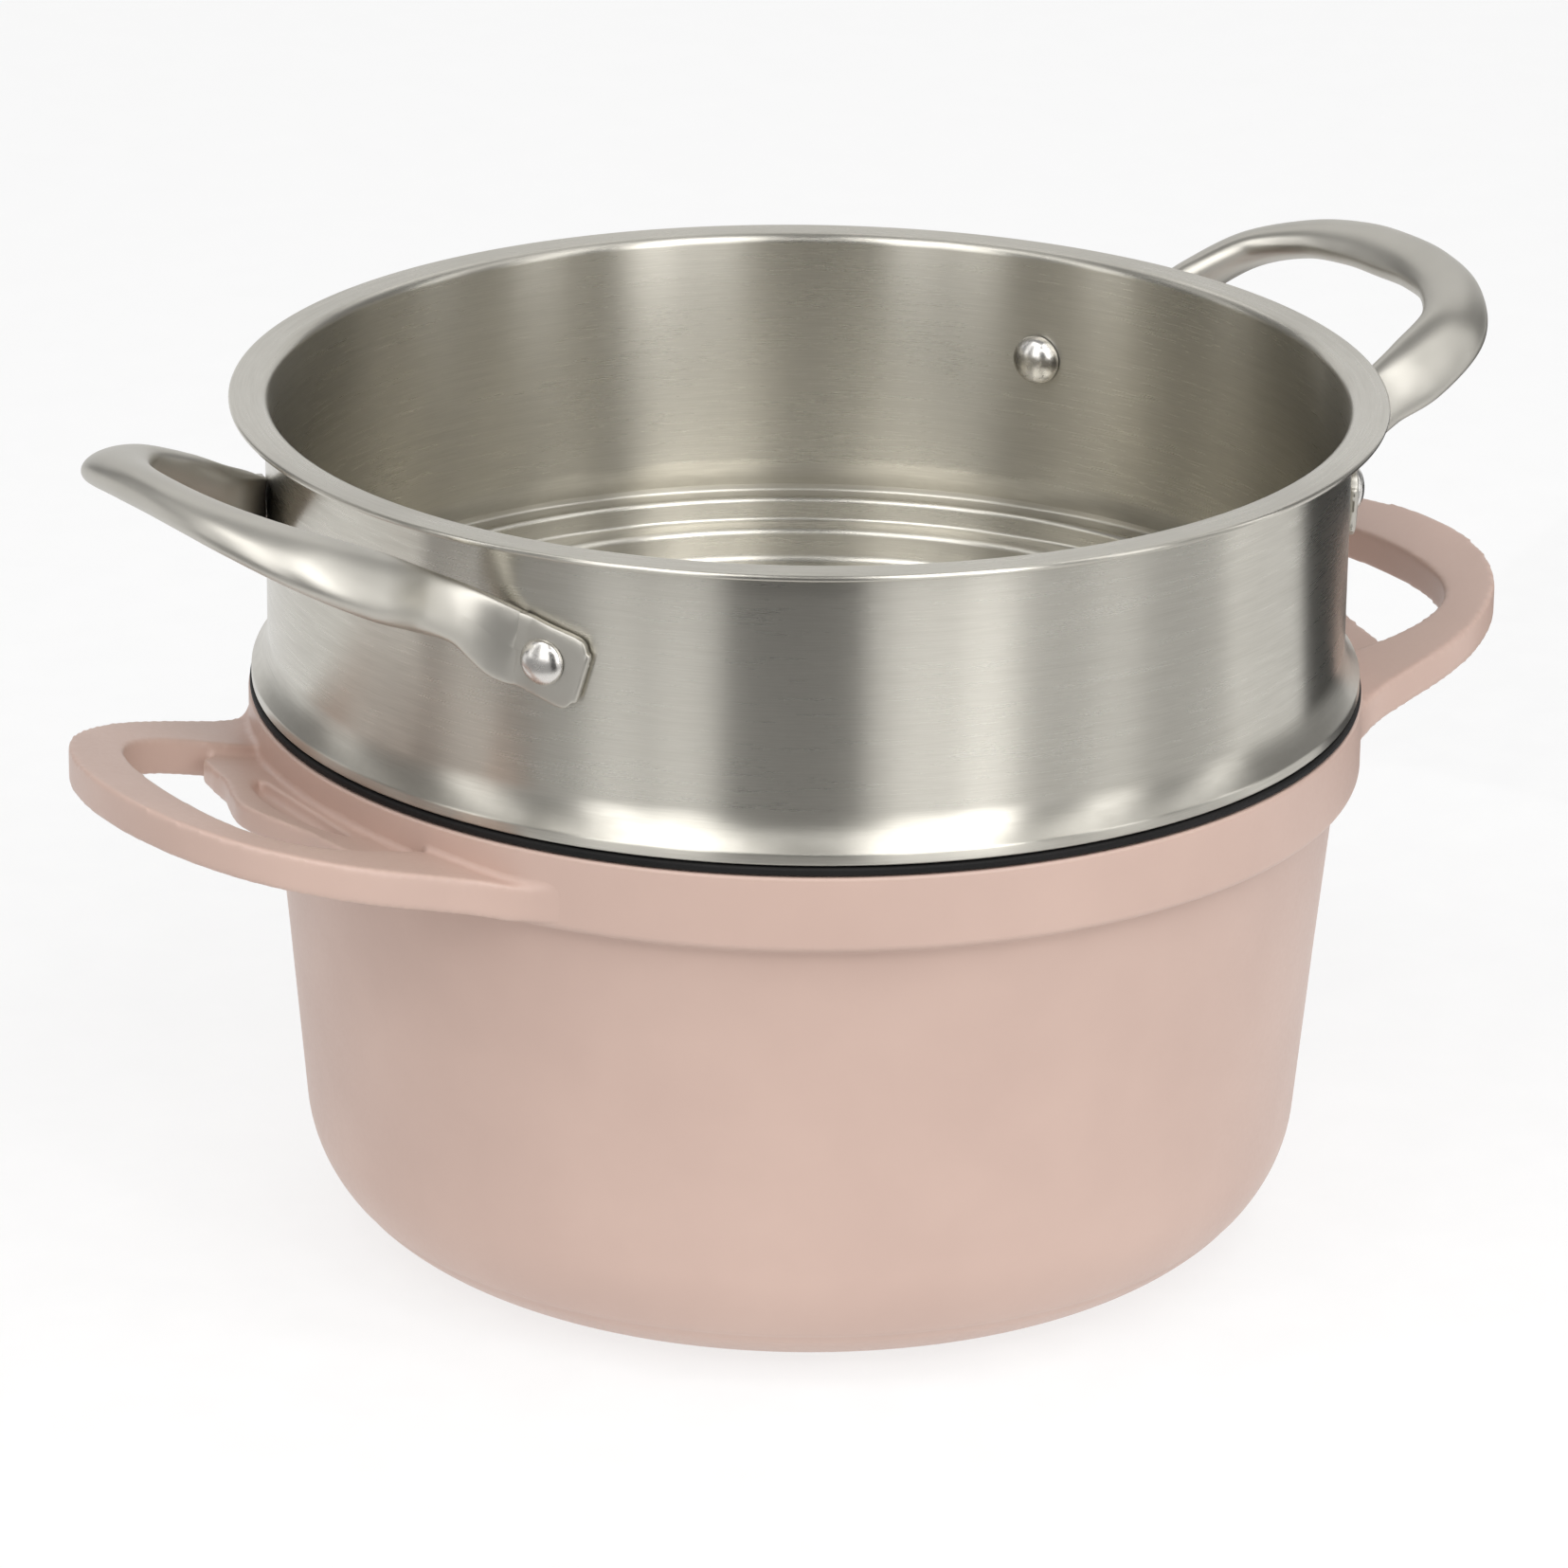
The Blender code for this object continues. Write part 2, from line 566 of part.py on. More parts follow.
def tube_section(place, tangent, size, sides):
    """A ring of points round the route; size is a section as loop_route gives it."""
    half_thickness, half_width, square, lean, roll = size
    tilt = lean * math.atan(LOOP_RISE)
    up = Vector((-math.sin(tilt), 0, math.cos(tilt)))
    out = up.cross(tangent).normalized()
    across = tangent.cross(out).normalized()
    thin = out * math.cos(roll) + across * math.sin(roll)
    broad = across * math.cos(roll) - out * math.sin(roll)
    points = []
    for step in range(sides):
        angle = math.tau * (step + 0.5) / sides
        c, s = math.cos(angle), math.sin(angle)
        u = half_thickness * math.copysign(abs(c) ** (2 / square), c)
        v = half_width * math.copysign(abs(s) ** (2 / square), s)
        points.append(place + thin * u + broad * v)
    return points


def make_loop(name, turn, material, rivet_tool):
    stations = loop_route()
    places = [Vector(place) for place, _ in stations]
    sizes = [size for _, size in stations]
    places += [Vector((p.x, -p.y, p.z)) for p in reversed(places[:-1])]
    sizes += list(reversed(sizes[:-1]))
    spine = smooth_path(places, 2)
    sections = smooth_sizes(sizes, 2)
    shape = bmesh.new()
    rings = []
    for index, place in enumerate(spine):
        before, after = spine[max(index - 1, 0)], spine[min(index + 1, len(spine) - 1)]
        ring = tube_section(place, (after - before).normalized(), sections[index], LOOP_SIDES)
        rings.append([shape.verts.new(point) for point in ring])
    for first, second in zip(rings, rings[1:]):
        for step in range(LOOP_SIDES):
            following = (step + 1) % LOOP_SIDES
            shape.faces.new((first[step], first[following], second[following], second[step]))
    shape.faces.new(list(reversed(rings[0])))
    shape.faces.new(rings[-1])
    place = Matrix.Rotation(turn, 4, "Z") @ Matrix.Translation((0, 0, LIP_BOTTOM))
    bmesh.ops.transform(shape, matrix=place, verts=shape.verts)
    loop = add_object(name, shape, material)
    add_boolean(loop, rivet_tool, "DIFFERENCE")
    return loop


# Rivets

def rivet_profile():
    """A shank with a low dome outside the tab and a fuller dome inside the wall."""
    inner_face = STEAMER_RADIUS - HEAD_GAP
    outer_face = TAB_INNER_RADIUS + TAB_THICKNESS + SEAT_GAP
    points = []
    for step in range(5):
        angle = math.pi / 2 * (1 - step / 4)
        points.append((INNER_HEAD_RADIUS * math.cos(angle), inner_face - INNER_HEAD_HEIGHT * math.sin(angle)))
    points += [(SHANK_RADIUS, inner_face), (SHANK_RADIUS, outer_face)]
    for step in range(4):
        angle = math.pi / 2 * step / 3
        points.append((OUTER_HEAD_RADIUS * math.cos(angle), outer_face + OUTER_HEAD_HEIGHT * math.sin(angle)))
    points[0] = (0.0, points[0][1])
    points[-1] = (0.0, points[-1][1])
    return points


def make_rivets(material):
    rivets = []
    for name, angle in rivet_places():
        shape = turned(rivet_profile(), SMALL_ROUND_STEPS)
        bmesh.ops.transform(shape, matrix=radial_frame(angle, RIVET_Z), verts=shape.verts)
        rivets.append(add_object(name, shape, material))
    return rivets


def main():
    clear_scene()
    pink = make_material("pink_coating", PINK, 0.42, 0.0)
    brushed = make_material("brushed_steel", STEEL, 0.30, 1.0)
    polished = make_material("polished_steel", STEEL, 0.15, 1.0)
    silicone = make_material("black_silicone", BLACK, 0.6, 0.0)

    make_pot(pink)
    make_disc(brushed)

    lift = bpy.data.objects.new("steamer_lift", None)
    bpy.context.scene.collection.objects.link(lift)
    lift.location.z = SEAL_BOTTOM
    bpy.context.view_layer.update()
    to_lift = lift.matrix_world.inverted()

    rivet_tool = rivet_holes()
    pieces = [make_seal(silicone), make_steamer(brushed, rivet_tool),
              make_loop("steamer_handle_right", STEAMER_TURN, brushed, rivet_tool),
              make_loop("steamer_handle_left", STEAMER_TURN + math.pi, brushed, rivet_tool)]
    pieces += make_rivets(polished)
    for piece in pieces:
        piece.parent = lift
        piece.matrix_parent_inverse = to_lift


main()
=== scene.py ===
"""Looks of the cast casserole pot with its steel steamer insert."""

import math

import bmesh
import bpy
from mathutils import Matrix, Vector


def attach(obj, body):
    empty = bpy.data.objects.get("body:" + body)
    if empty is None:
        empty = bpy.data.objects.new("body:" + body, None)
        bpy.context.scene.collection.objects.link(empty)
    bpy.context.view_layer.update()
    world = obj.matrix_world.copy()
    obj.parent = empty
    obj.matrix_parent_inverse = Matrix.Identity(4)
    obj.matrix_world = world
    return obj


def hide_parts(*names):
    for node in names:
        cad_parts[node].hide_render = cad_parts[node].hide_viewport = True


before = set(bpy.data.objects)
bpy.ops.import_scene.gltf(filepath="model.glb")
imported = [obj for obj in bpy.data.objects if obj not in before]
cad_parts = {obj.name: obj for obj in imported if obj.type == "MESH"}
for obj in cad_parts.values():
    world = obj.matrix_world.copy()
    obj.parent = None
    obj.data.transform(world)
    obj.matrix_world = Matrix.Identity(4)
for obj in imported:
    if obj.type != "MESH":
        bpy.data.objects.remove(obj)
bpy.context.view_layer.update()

# Pot casting, metres
POT_TOP = 0.1260
COLLAR_RADIUS = 0.1252
COLLAR_HEIGHT = 0.0162
COLLAR_STEP = 0.0048
RIM_WIDTH = 0.0050
SHOULDER_DEPTH = 0.0022
COLLAR_FOOT_DROP = 0.0004
WALL_START_DEPTH = 0.040
BODY_SLOPE = 0.095
BODY_CORNER = 0.0310
BODY_WALL = 0.0036
INNER_CORNER = 0.0260
FLOOR_THICKNESS = 0.0055
MOUTH_DEPTH = 0.0085
SEAT_LEDGE = 0.0028
RECESS_RADIUS = 0.0744
RECESS_HEIGHT = 0.0023
BASE_GROOVE_ANGLE = math.radians(-40.5)
BASE_GROOVE_DEPTH = 0.00035
BASE_GROOVE_WIDTH = 0.0009

# Roundings of the pot's edges, from the recess outwards, up and down the inside
RECESS_ROUNDING = 0.0003
FOOT_ROUNDING = 0.0005
SHOULDER_ROUNDING = 0.0014
COLLAR_FOOT_ROUNDING = 0.0019
COLLAR_TOP_ROUNDING = 0.0007
MOUTH_ROUNDING = 0.0006
LEDGE_ROUNDING = 0.0008
SEAT_ROUNDING = 0.0012

# Cast handles
HANDLE_REACH = 0.1772
HANDLE_HALF_WIDTH = 0.0556
HANDLE_THICKNESS = 0.0084
HANDLE_DROP = 0.0047
HANDLE_SLOPE = 0.240
HANDLE_FLARE_ANGLE = math.radians(34.0)
HANDLE_BEND_X = COLLAR_RADIUS + (HANDLE_DROP + HANDLE_THICKNESS - COLLAR_HEIGHT) / HANDLE_SLOPE
HANDLE_ROOT_DEPTH = 0.0004
HANDLE_END_DEPTH = 0.0028
GRIP_WIDTH = 0.0142
FINGER_HALF_WIDTH = 0.0390
FINGER_START_X = 0.1144
WEB_DROP = 0.0027
WEB_REACH = 0.1445
WEB_HALF_WIDTH = 0.0400
DISH_DEPTH = 0.0029
DISH_START_X = 0.1285
DISH_LENGTH = 0.0079
DISH_HALF_WIDTH = 0.0205
CAST_GRAIN = 0.00062
BELOW_HANDLES = 0.05
ABOVE_HANDLES = 0.25

# Steel disc
DISC_RADIUS = 0.0740
DISC_BOTTOM = 0.0004
DISC_TOP = 0.0020
DISC_FOOT_ROUNDING = 0.0004
DISC_TOP_ROUNDING = 0.0001

# Seal
SEAL_BOTTOM = 0.1263
SEAL_TOP = 0.1281
SEAL_RADIUS = 0.1249
SEAL_SKIRT_RADIUS = 0.1199
SEAL_SKIRT_WALL = 0.0009
SEAL_SKIRT_DEPTH = 0.0026
SEAL_SKIRT_ROUNDING = 0.0003
SEAL_CORNER_ROUNDING = 0.0002
SEAL_EDGE_ROUNDING = 0.0006

# Steamer
SHEET = 0.0008
LIP_BOTTOM = 0.1284
LIP_RADIUS = 0.1245
LIP_HEIGHT = 0.0026
FLARE_HEIGHT = 0.0106
STEAMER_RADIUS = 0.1200
STEAMER_TOP = 0.1943
RIM_RADIUS = 0.1288
RIM_HEM = 0.0014
RIM_BEND = 0.0014
SPIGOT_RADIUS = 0.1187
STEP_RADIUS = 0.1118
STEP_BOTTOM = 0.1229
FLOOR_BOTTOM = 0.1149
FLOOR_FILLET = 0.0030
STEAMER_TURN = math.radians(2.2)

# Roundings of the rolled rim, from its root under the flange to the top
HEM_ROOT_ROUNDING = 0.0002
HEM_FOOT_ROUNDING = 0.0003
HEM_EDGE_ROUNDING = 0.0006
RIM_TOP_ROUNDING = 0.0007

# Steam holes
HOLE_RADIUS = 0.0021
HOLE_SIDES = 28
HOLE_RINGS = 5
OUTER_HOLE_RING = 0.0960
HOLE_RING_PITCH = 0.0190
OUTER_HOLE_COUNT = 24
HOLES_PER_RING_STEP = 5
HOLE_START = math.radians(10.4)
PLATE_RADIUS = 0.1070

# Steamer handles and rivets
RIVET_ANGLE = math.radians(28.4)
RIVET_HEIGHT = 0.0398
TAB_THICKNESS = 0.0022
TAB_HALF_WIDTH = 0.0082
TAB_OVERHANG = 0.0086
TAB_SLANT = 0.300
TAB_FACE_RADIUS = 0.1211
TAB_SQUARENESS = 6.0
ROUND_SQUARENESS = 2.0
TUBE_HALF_THICKNESS = 0.0044
LOOP_REACH = 0.1660
LOOP_HALF_WIDTH = 0.0420
LOOP_RISE = 0.470
LOOP_LIFT = 0.0028
SHANK_RADIUS = 0.0024
OUTER_HEAD_RADIUS = 0.0051
OUTER_HEAD_HEIGHT = 0.0025
OUTER_HEAD_GAP = 0.0001
INNER_HEAD_RADIUS = 0.0058
INNER_HEAD_HEIGHT = 0.0038
INNER_HEAD_GAP = 0.00045

# Fineness of the meshes
TURNING_STEPS = 256
DISC_STEPS = 192
RIVET_STEPS = 48
TUBE_SIDES = 64
SEAM_WELD = 0.000004
PLATE_WELD = 0.00002
TINY = 1e-7
SHARP_EDGE = math.radians(38)
CAST_SHARP_EDGE = math.radians(60)
TUBE_SHARP_EDGE = math.radians(70)

# Height of the finishes' finest marks
LINE_BUMP = 0.00006
GRAIN_BUMP = 0.00008

# Studio
VIEW_TURN = math.radians(32.6)
LAMP_AIM = (0.0, 0.0, 0.12)
FLOOR_HALF_SIDE = 25.0
FLOOR_DROP = 0.0002
CARD_NEAR = 0.33
CARD_FAR = 1.7
CARD_LIFT = 0.001


# Node trees

def feed(tree, node, values):
    """Gives each named input of a node a link, where the value is a socket, or else a plain value."""
    for socket, value in values.items():
        if isinstance(value, bpy.types.NodeSocket):
            tree.links.new(value, node.inputs[socket])
        else:
            node.inputs[socket].default_value = value


def new_node(tree, kind, inputs=None, **settings):
    made = tree.nodes.new(kind)
    for name, value in settings.items():
        setattr(made, name, value)
    feed(tree, made, inputs or {})
    return made


def result(tree, kind, inputs=None, **settings):
    """The first output of a new node."""
    return new_node(tree, kind, inputs, **settings).outputs[0]


def maths(tree, operation, *values):
    return result(tree, "ShaderNodeMath", dict(enumerate(values)), operation=operation)


def plus(tree, first, second):
    return maths(tree, "ADD", first, second)


def minus(tree, first, second):
    return maths(tree, "SUBTRACT", first, second)


def times(tree, first, second):
    return maths(tree, "MULTIPLY", first, second)


def over(tree, first, second):
    return maths(tree, "DIVIDE", first, second)


def vector_maths(tree, operation, *values):
    return result(tree, "ShaderNodeVectorMath", dict(enumerate(values)), operation=operation)


def combined(tree, x, y, z):
    return result(tree, "ShaderNodeCombineXYZ", {0: x, 1: y, 2: z})


def split(tree, vector):
    return new_node(tree, "ShaderNodeSeparateXYZ", {0: vector}).outputs


def axis_distance(tree, x, y):
    """The distance from the Z axis, kept off zero by a hair so that it can be divided by."""
    hair = 1e-8
    return maths(tree, "SQRT", plus(tree, times(tree, x, x), plus(tree, times(tree, y, y), hair)))


def blended(tree, first, second, share):
    """The given share of the first value and the rest of the second."""
    return plus(tree, times(tree, first, share), times(tree, second, 1.0 - share))


def new_tree(name, kind, inputs, outputs):
    """A new tree, its input sockets and its output node, from the names and types of its sockets."""
    tree = bpy.data.node_groups.new(name, kind)
    for side, sockets in (("INPUT", inputs), ("OUTPUT", outputs)):
        for title, socket in sockets.items():
            tree.interface.new_socket(title, in_out=side, socket_type="NodeSocket" + socket)
    return tree, tree.nodes.new("NodeGroupInput").outputs, tree.nodes.new("NodeGroupOutput")


# Geometry node trees

def new_geometry_tree(name, inputs):
    return new_tree(name, "GeometryNodeTree", inputs, {"Geometry": "Geometry"})


def end_geometry_tree(tree, out, shape, finish):
    """Makes instances real and gives the shape its finish, as the last two steps of a tree."""
    solid = result(tree, "GeometryNodeRealizeInstances", {"Geometry": shape})
    feed(tree, out, {0: result(tree, "GeometryNodeSetMaterial", {"Geometry": solid, "Material": finish})})
    return tree


def joined(tree, parts):
    join = tree.nodes.new("GeometryNodeJoinGeometry")
    for part in parts:
        tree.links.new(part, join.inputs[0])
    return join.outputs[0]


def welded(tree, shape, distance):
    return result(tree, "GeometryNodeMergeByDistance", {"Geometry": shape, "Distance": distance})


def moved(tree, shape, places):
    return result(tree, "GeometryNodeSetPosition", {"Geometry": shape, "Position": places})


def point_count(tree, line):
    size = new_node(tree, "GeometryNodeAttributeDomainSize", {"Geometry": line}, component="MESH")
    return size.outputs["Point Count"]


def value_at(tree, line, value, index, kind="FLOAT_VECTOR"):
    """What the line holds at the point with that index."""
    return result(tree, "GeometryNodeSampleIndex", {"Geometry": line, "Value": value, "Index": index},
                  data_type=kind, domain="POINT")


def skin_grid(tree, rows, sides):
    """A grid to wrap round a piece, with the row and the angle round the piece of each of its points."""
    in_row = plus(tree, sides, 1.0)
    grid = result(tree, "GeometryNodeMeshGrid", {"Vertices X": rows, "Vertices Y": in_row})
    index = result(tree, "GeometryNodeInputIndex")
    row = maths(tree, "FLOOR", over(tree, plus(tree, index, 0.5), in_row))
    around = maths(tree, "FLOOR", plus(tree, maths(tree, "MODULO", index, in_row), 0.5))
    angle = times(tree, over(tree, around, sides), math.tau)
    return grid, row, angle


def turning_tree():
    """Turns the outline that the object's own mesh holds, point after point, round the Z axis."""
    tree, given, out = new_geometry_tree("turned_piece", {"Outline": "Geometry", "Steps": "Int",
                                                          "Closed": "Int", "Finish": "Material"})
    count = point_count(tree, given["Outline"])
    grid, row, angle = skin_grid(tree, plus(tree, count, given["Closed"]), given["Steps"])
    place = result(tree, "GeometryNodeInputPosition")
    x, _, z = split(tree, value_at(tree, given["Outline"], place, maths(tree, "MODULO", row, count)))
    spot = combined(tree, times(tree, x, maths(tree, "COSINE", angle)),
                    times(tree, x, maths(tree, "SINE", angle)), z)
    shape = welded(tree, moved(tree, grid, spot), SEAM_WELD)
    return end_geometry_tree(tree, out, shape, given["Finish"])


def perforated_tree():
    """A round plate with rings of steam holes, welded to the turned shell that comes in."""
    inputs = {"Shell": "Geometry"}
    inputs.update({name: "Int" for name in ("Steps", "Rings", "Outer Count", "Fewer Each Ring")})
    inputs.update({name: "Float" for name in ("Plate Radius", "Hole Radius", "Outer Ring", "Ring Pitch",
                                              "Start", "Height", "Sheet")})
    inputs["Finish"] = "Material"
    tree, given, out = new_geometry_tree("perforated_floor", inputs)
    rings = []
    for number in range(HOLE_RINGS):
        wanted = maths(tree, "GREATER_THAN", given["Rings"], number - 0.5)
        count = minus(tree, given["Outer Count"], times(tree, given["Fewer Each Ring"], float(number)))
        radius = minus(tree, given["Outer Ring"], times(tree, given["Ring Pitch"], float(number)))
        rings.append(result(tree, "GeometryNodeMeshCircle",
                            {"Vertices": times(tree, count, wanted), "Radius": radius}))
    middle = result(tree, "GeometryNodeMeshLine", {"Count": 1})
    spots = result(tree, "GeometryNodeTransform",
                   {"Geometry": joined(tree, rings + [middle]),
                    "Rotation": combined(tree, 0.0, 0.0, given["Start"])})
    hole = result(tree, "GeometryNodeCurvePrimitiveCircle",
                  {"Resolution": HOLE_SIDES, "Radius": given["Hole Radius"]})
    holes = result(tree, "GeometryNodeInstanceOnPoints", {"Points": spots, "Instance": hole})
    edge = result(tree, "GeometryNodeCurvePrimitiveCircle",
                  {"Resolution": given["Steps"], "Radius": given["Plate Radius"]})
    lines = joined(tree, [edge, result(tree, "GeometryNodeRealizeInstances", {"Geometry": holes})])
    low = result(tree, "GeometryNodeSetPosition",
                 {"Geometry": result(tree, "GeometryNodeFillCurve", {"Curve": lines}),
                  "Offset": combined(tree, 0.0, 0.0, given["Height"])})
    under = result(tree, "GeometryNodeFlipFaces", {"Mesh": low})
    raised = new_node(tree, "GeometryNodeExtrudeMesh", {"Mesh": low, "Offset": (0.0, 0.0, 1.0),
                                                        "Offset Scale": given["Sheet"], "Individual": False})
    x, y, _ = split(tree, result(tree, "GeometryNodeInputPosition"))
    nearly_all = 0.999
    just_inside = times(tree, given["Plate Radius"], nearly_all)
    at_rim = maths(tree, "GREATER_THAN", axis_distance(tree, x, y), just_inside)
    plate = result(tree, "GeometryNodeDeleteGeometry",
                   {"Geometry": raised.outputs["Mesh"],
                    "Selection": times(tree, at_rim, raised.outputs["Side"])}, domain="FACE")
    shape = welded(tree, joined(tree, [given["Shell"], under, plate]), PLATE_WELD)
    return end_geometry_tree(tree, out, shape, given["Finish"])


def tube_tree():
    """Skins a route whose points carry the tube's section: two axes, two half sizes and squareness."""
    tree, given, out = new_geometry_tree("tube_on_route", {"Route": "Geometry", "Sides": "Int",
                                                           "Finish": "Material"})
    route = given["Route"]
    grid, row, angle = skin_grid(tree, point_count(tree, route), given["Sides"])

    def stored(name, kind):
        held = new_node(tree, "GeometryNodeInputNamedAttribute", {"Name": name}, data_type=kind)
        return value_at(tree, route, held.outputs["Attribute"], row, kind)

    place = value_at(tree, route, result(tree, "GeometryNodeInputPosition"), row)
    power = over(tree, 2.0, stored("squareness", "FLOAT"))
    offsets = []
    for trig, half, axis in (("COSINE", "half_thickness", "thin_axis"), ("SINE", "half_width", "broad_axis")):
        wave = maths(tree, trig, angle)
        size = times(tree, maths(tree, "SIGN", wave),
                     maths(tree, "POWER", maths(tree, "ABSOLUTE", wave), power))
        reach = times(tree, size, stored(half, "FLOAT"))
        offsets.append(result(tree, "ShaderNodeVectorMath",
                              {0: stored(axis, "FLOAT_VECTOR"), "Scale": reach}, operation="SCALE"))
    spot = vector_maths(tree, "ADD", place, vector_maths(tree, "ADD", *offsets))
    shape = welded(tree, moved(tree, grid, spot), SEAM_WELD)
    return end_geometry_tree(tree, out, shape, given["Finish"])


def rivet_tree():
    """Sets the turned rivet that comes in at both ends of both handles, its axis pointing outwards."""
    tree, given, out = new_geometry_tree("rivet_set", {"Rivet": "Geometry", "Turn": "Float",
                                                       "Spread": "Float", "Height": "Float",
                                                       "Finish": "Material"})
    points = result(tree, "GeometryNodeMeshLine", {"Count": 4, "Offset": (0.0, 0.0, 0.0)})
    index = result(tree, "GeometryNodeInputIndex")
    side = maths(tree, "FLOOR", over(tree, plus(tree, index, 0.5), 2.0))
    end = minus(tree, times(tree, maths(tree, "MODULO", index, 2.0), 2.0), 1.0)
    angle = plus(tree, plus(tree, given["Turn"], times(tree, side, math.pi)),
                 times(tree, end, given["Spread"]))
    rivets = result(tree, "GeometryNodeInstanceOnPoints",
                    {"Points": moved(tree, points, combined(tree, 0.0, 0.0, given["Height"])),
                     "Instance": given["Rivet"], "Rotation": combined(tree, 0.0, math.pi / 2, angle)})
    return end_geometry_tree(tree, out, rivets, given["Finish"])


# Meshes

def new_object(name, data):
    item = bpy.data.objects.new(name, data)
    bpy.context.scene.collection.objects.link(item)
    return item


def line_mesh(name, points, closed=False, attributes=()):
    """A mesh of the points and the edges between them, with what each point carries."""
    mesh = bpy.data.meshes.new(name)
    edges = [(i, i + 1) for i in range(len(points) - 1)]
    if closed:
        edges.append((len(points) - 1, 0))
    mesh.from_pydata([tuple(point) for point in points], edges, [])
    for title, kind, values in attributes:
        layer = mesh.attributes.new(title, kind, "POINT")
        for item, value in zip(layer.data, values):
            if kind == "FLOAT_VECTOR":
                item.vector = value
            else:
                item.value = value
    return mesh


def grow(name, mesh, steps):
    """Runs the mesh through geometry node trees, each given with its named inputs, and keeps the result."""
    item = new_object(name, mesh)
    for tree, values in steps:
        modifier = item.modifiers.new(tree.name, "NODES")
        modifier.node_group = tree
        for socket in tree.interface.items_tree:
            if socket.in_out == "INPUT" and socket.name in values:
                modifier[socket.identifier] = values[socket.name]
    keep_result(item)
    return item


def turned(name, outline, turning, finish, closed=False, steps=TURNING_STEPS, further_steps=()):
    """A piece turned from its outline and then run through any further trees."""
    values = {"Steps": steps, "Closed": int(closed), "Finish": finish}
    return grow(name, line_mesh(name, outline, closed), [(turning, values), *further_steps])


def keep_result(item):
    """Replaces the object's mesh by what its modifiers make of it, and removes them."""
    evaluated = item.evaluated_get(bpy.context.evaluated_depsgraph_get())
    made = bpy.data.meshes.new_from_object(evaluated)
    item.modifiers.clear()
    old, item.data = item.data, made
    made.name = item.name
    bpy.data.meshes.remove(old)


def finish_faces(item, material, sharp=SHARP_EDGE):
    """Closes small doubles, turns the faces outwards and shades them smooth up to the sharp angle."""
    shape = bmesh.new()
    shape.from_mesh(item.data)
    bmesh.ops.dissolve_degenerate(shape, edges=shape.edges, dist=TINY)
    bmesh.ops.recalc_face_normals(shape, faces=shape.faces)
    shape.to_mesh(item.data)
    shape.free()
    item.data.materials.clear()
    item.data.materials.append(material)
    item.data.shade_smooth()
    item.data.set_sharp_from_angle(angle=sharp)


def rounded(corners, closed=False, steps=6):
    """Points of an outline whose corners (radius, height, rounding) are rounded by arcs."""
    straight, longest_share = 0.01, 0.49
    points = []
    total = len(corners)
    for number, (x, z, rounding) in enumerate(corners):
        here = Vector((x, z))
        if rounding <= 0 or (not closed and number in (0, total - 1)):
            points.append(here)
            continue
        before = Vector(corners[number - 1][:2]) - here
        after = Vector(corners[(number + 1) % total][:2]) - here
        half = before.angle(after) / 2
        if half > math.pi / 2 - straight:
            points.append(here)
            continue
        reach = min(rounding / math.tan(half), longest_share * before.length, longest_share * after.length)
        radius = reach * math.tan(half)
        centre = here + (before.normalized() + after.normalized()).normalized() * (radius / math.sin(half))
        first = here + before.normalized() * reach - centre
        last = here + after.normalized() * reach - centre
        sweep = first.angle_signed(last)
        for step in range(steps + 1):
            points.append(centre + Matrix.Rotation(-sweep * step / steps, 2) @ first)
    return [(point.x, 0.0, point.y) for point in points]


def smooth_path(points, steps):
    """A Catmull-Rom curve through the points."""
    vectors = [Vector(point) for point in points]
    padded = [2 * vectors[0] - vectors[1]] + vectors + [2 * vectors[-1] - vectors[-2]]
    path = []
    for before, start, end, after in zip(padded, padded[1:], padded[2:], padded[3:]):
        for step in range(steps):
            t = step / steps
            path.append(0.5 * (2 * start + (end - before) * t
                               + (2 * before - 5 * start + 4 * end - after) * t ** 2
                               + (3 * start - before - 3 * end + after) * t ** 3))
    path.append(vectors[-1])
    return path


# Pot

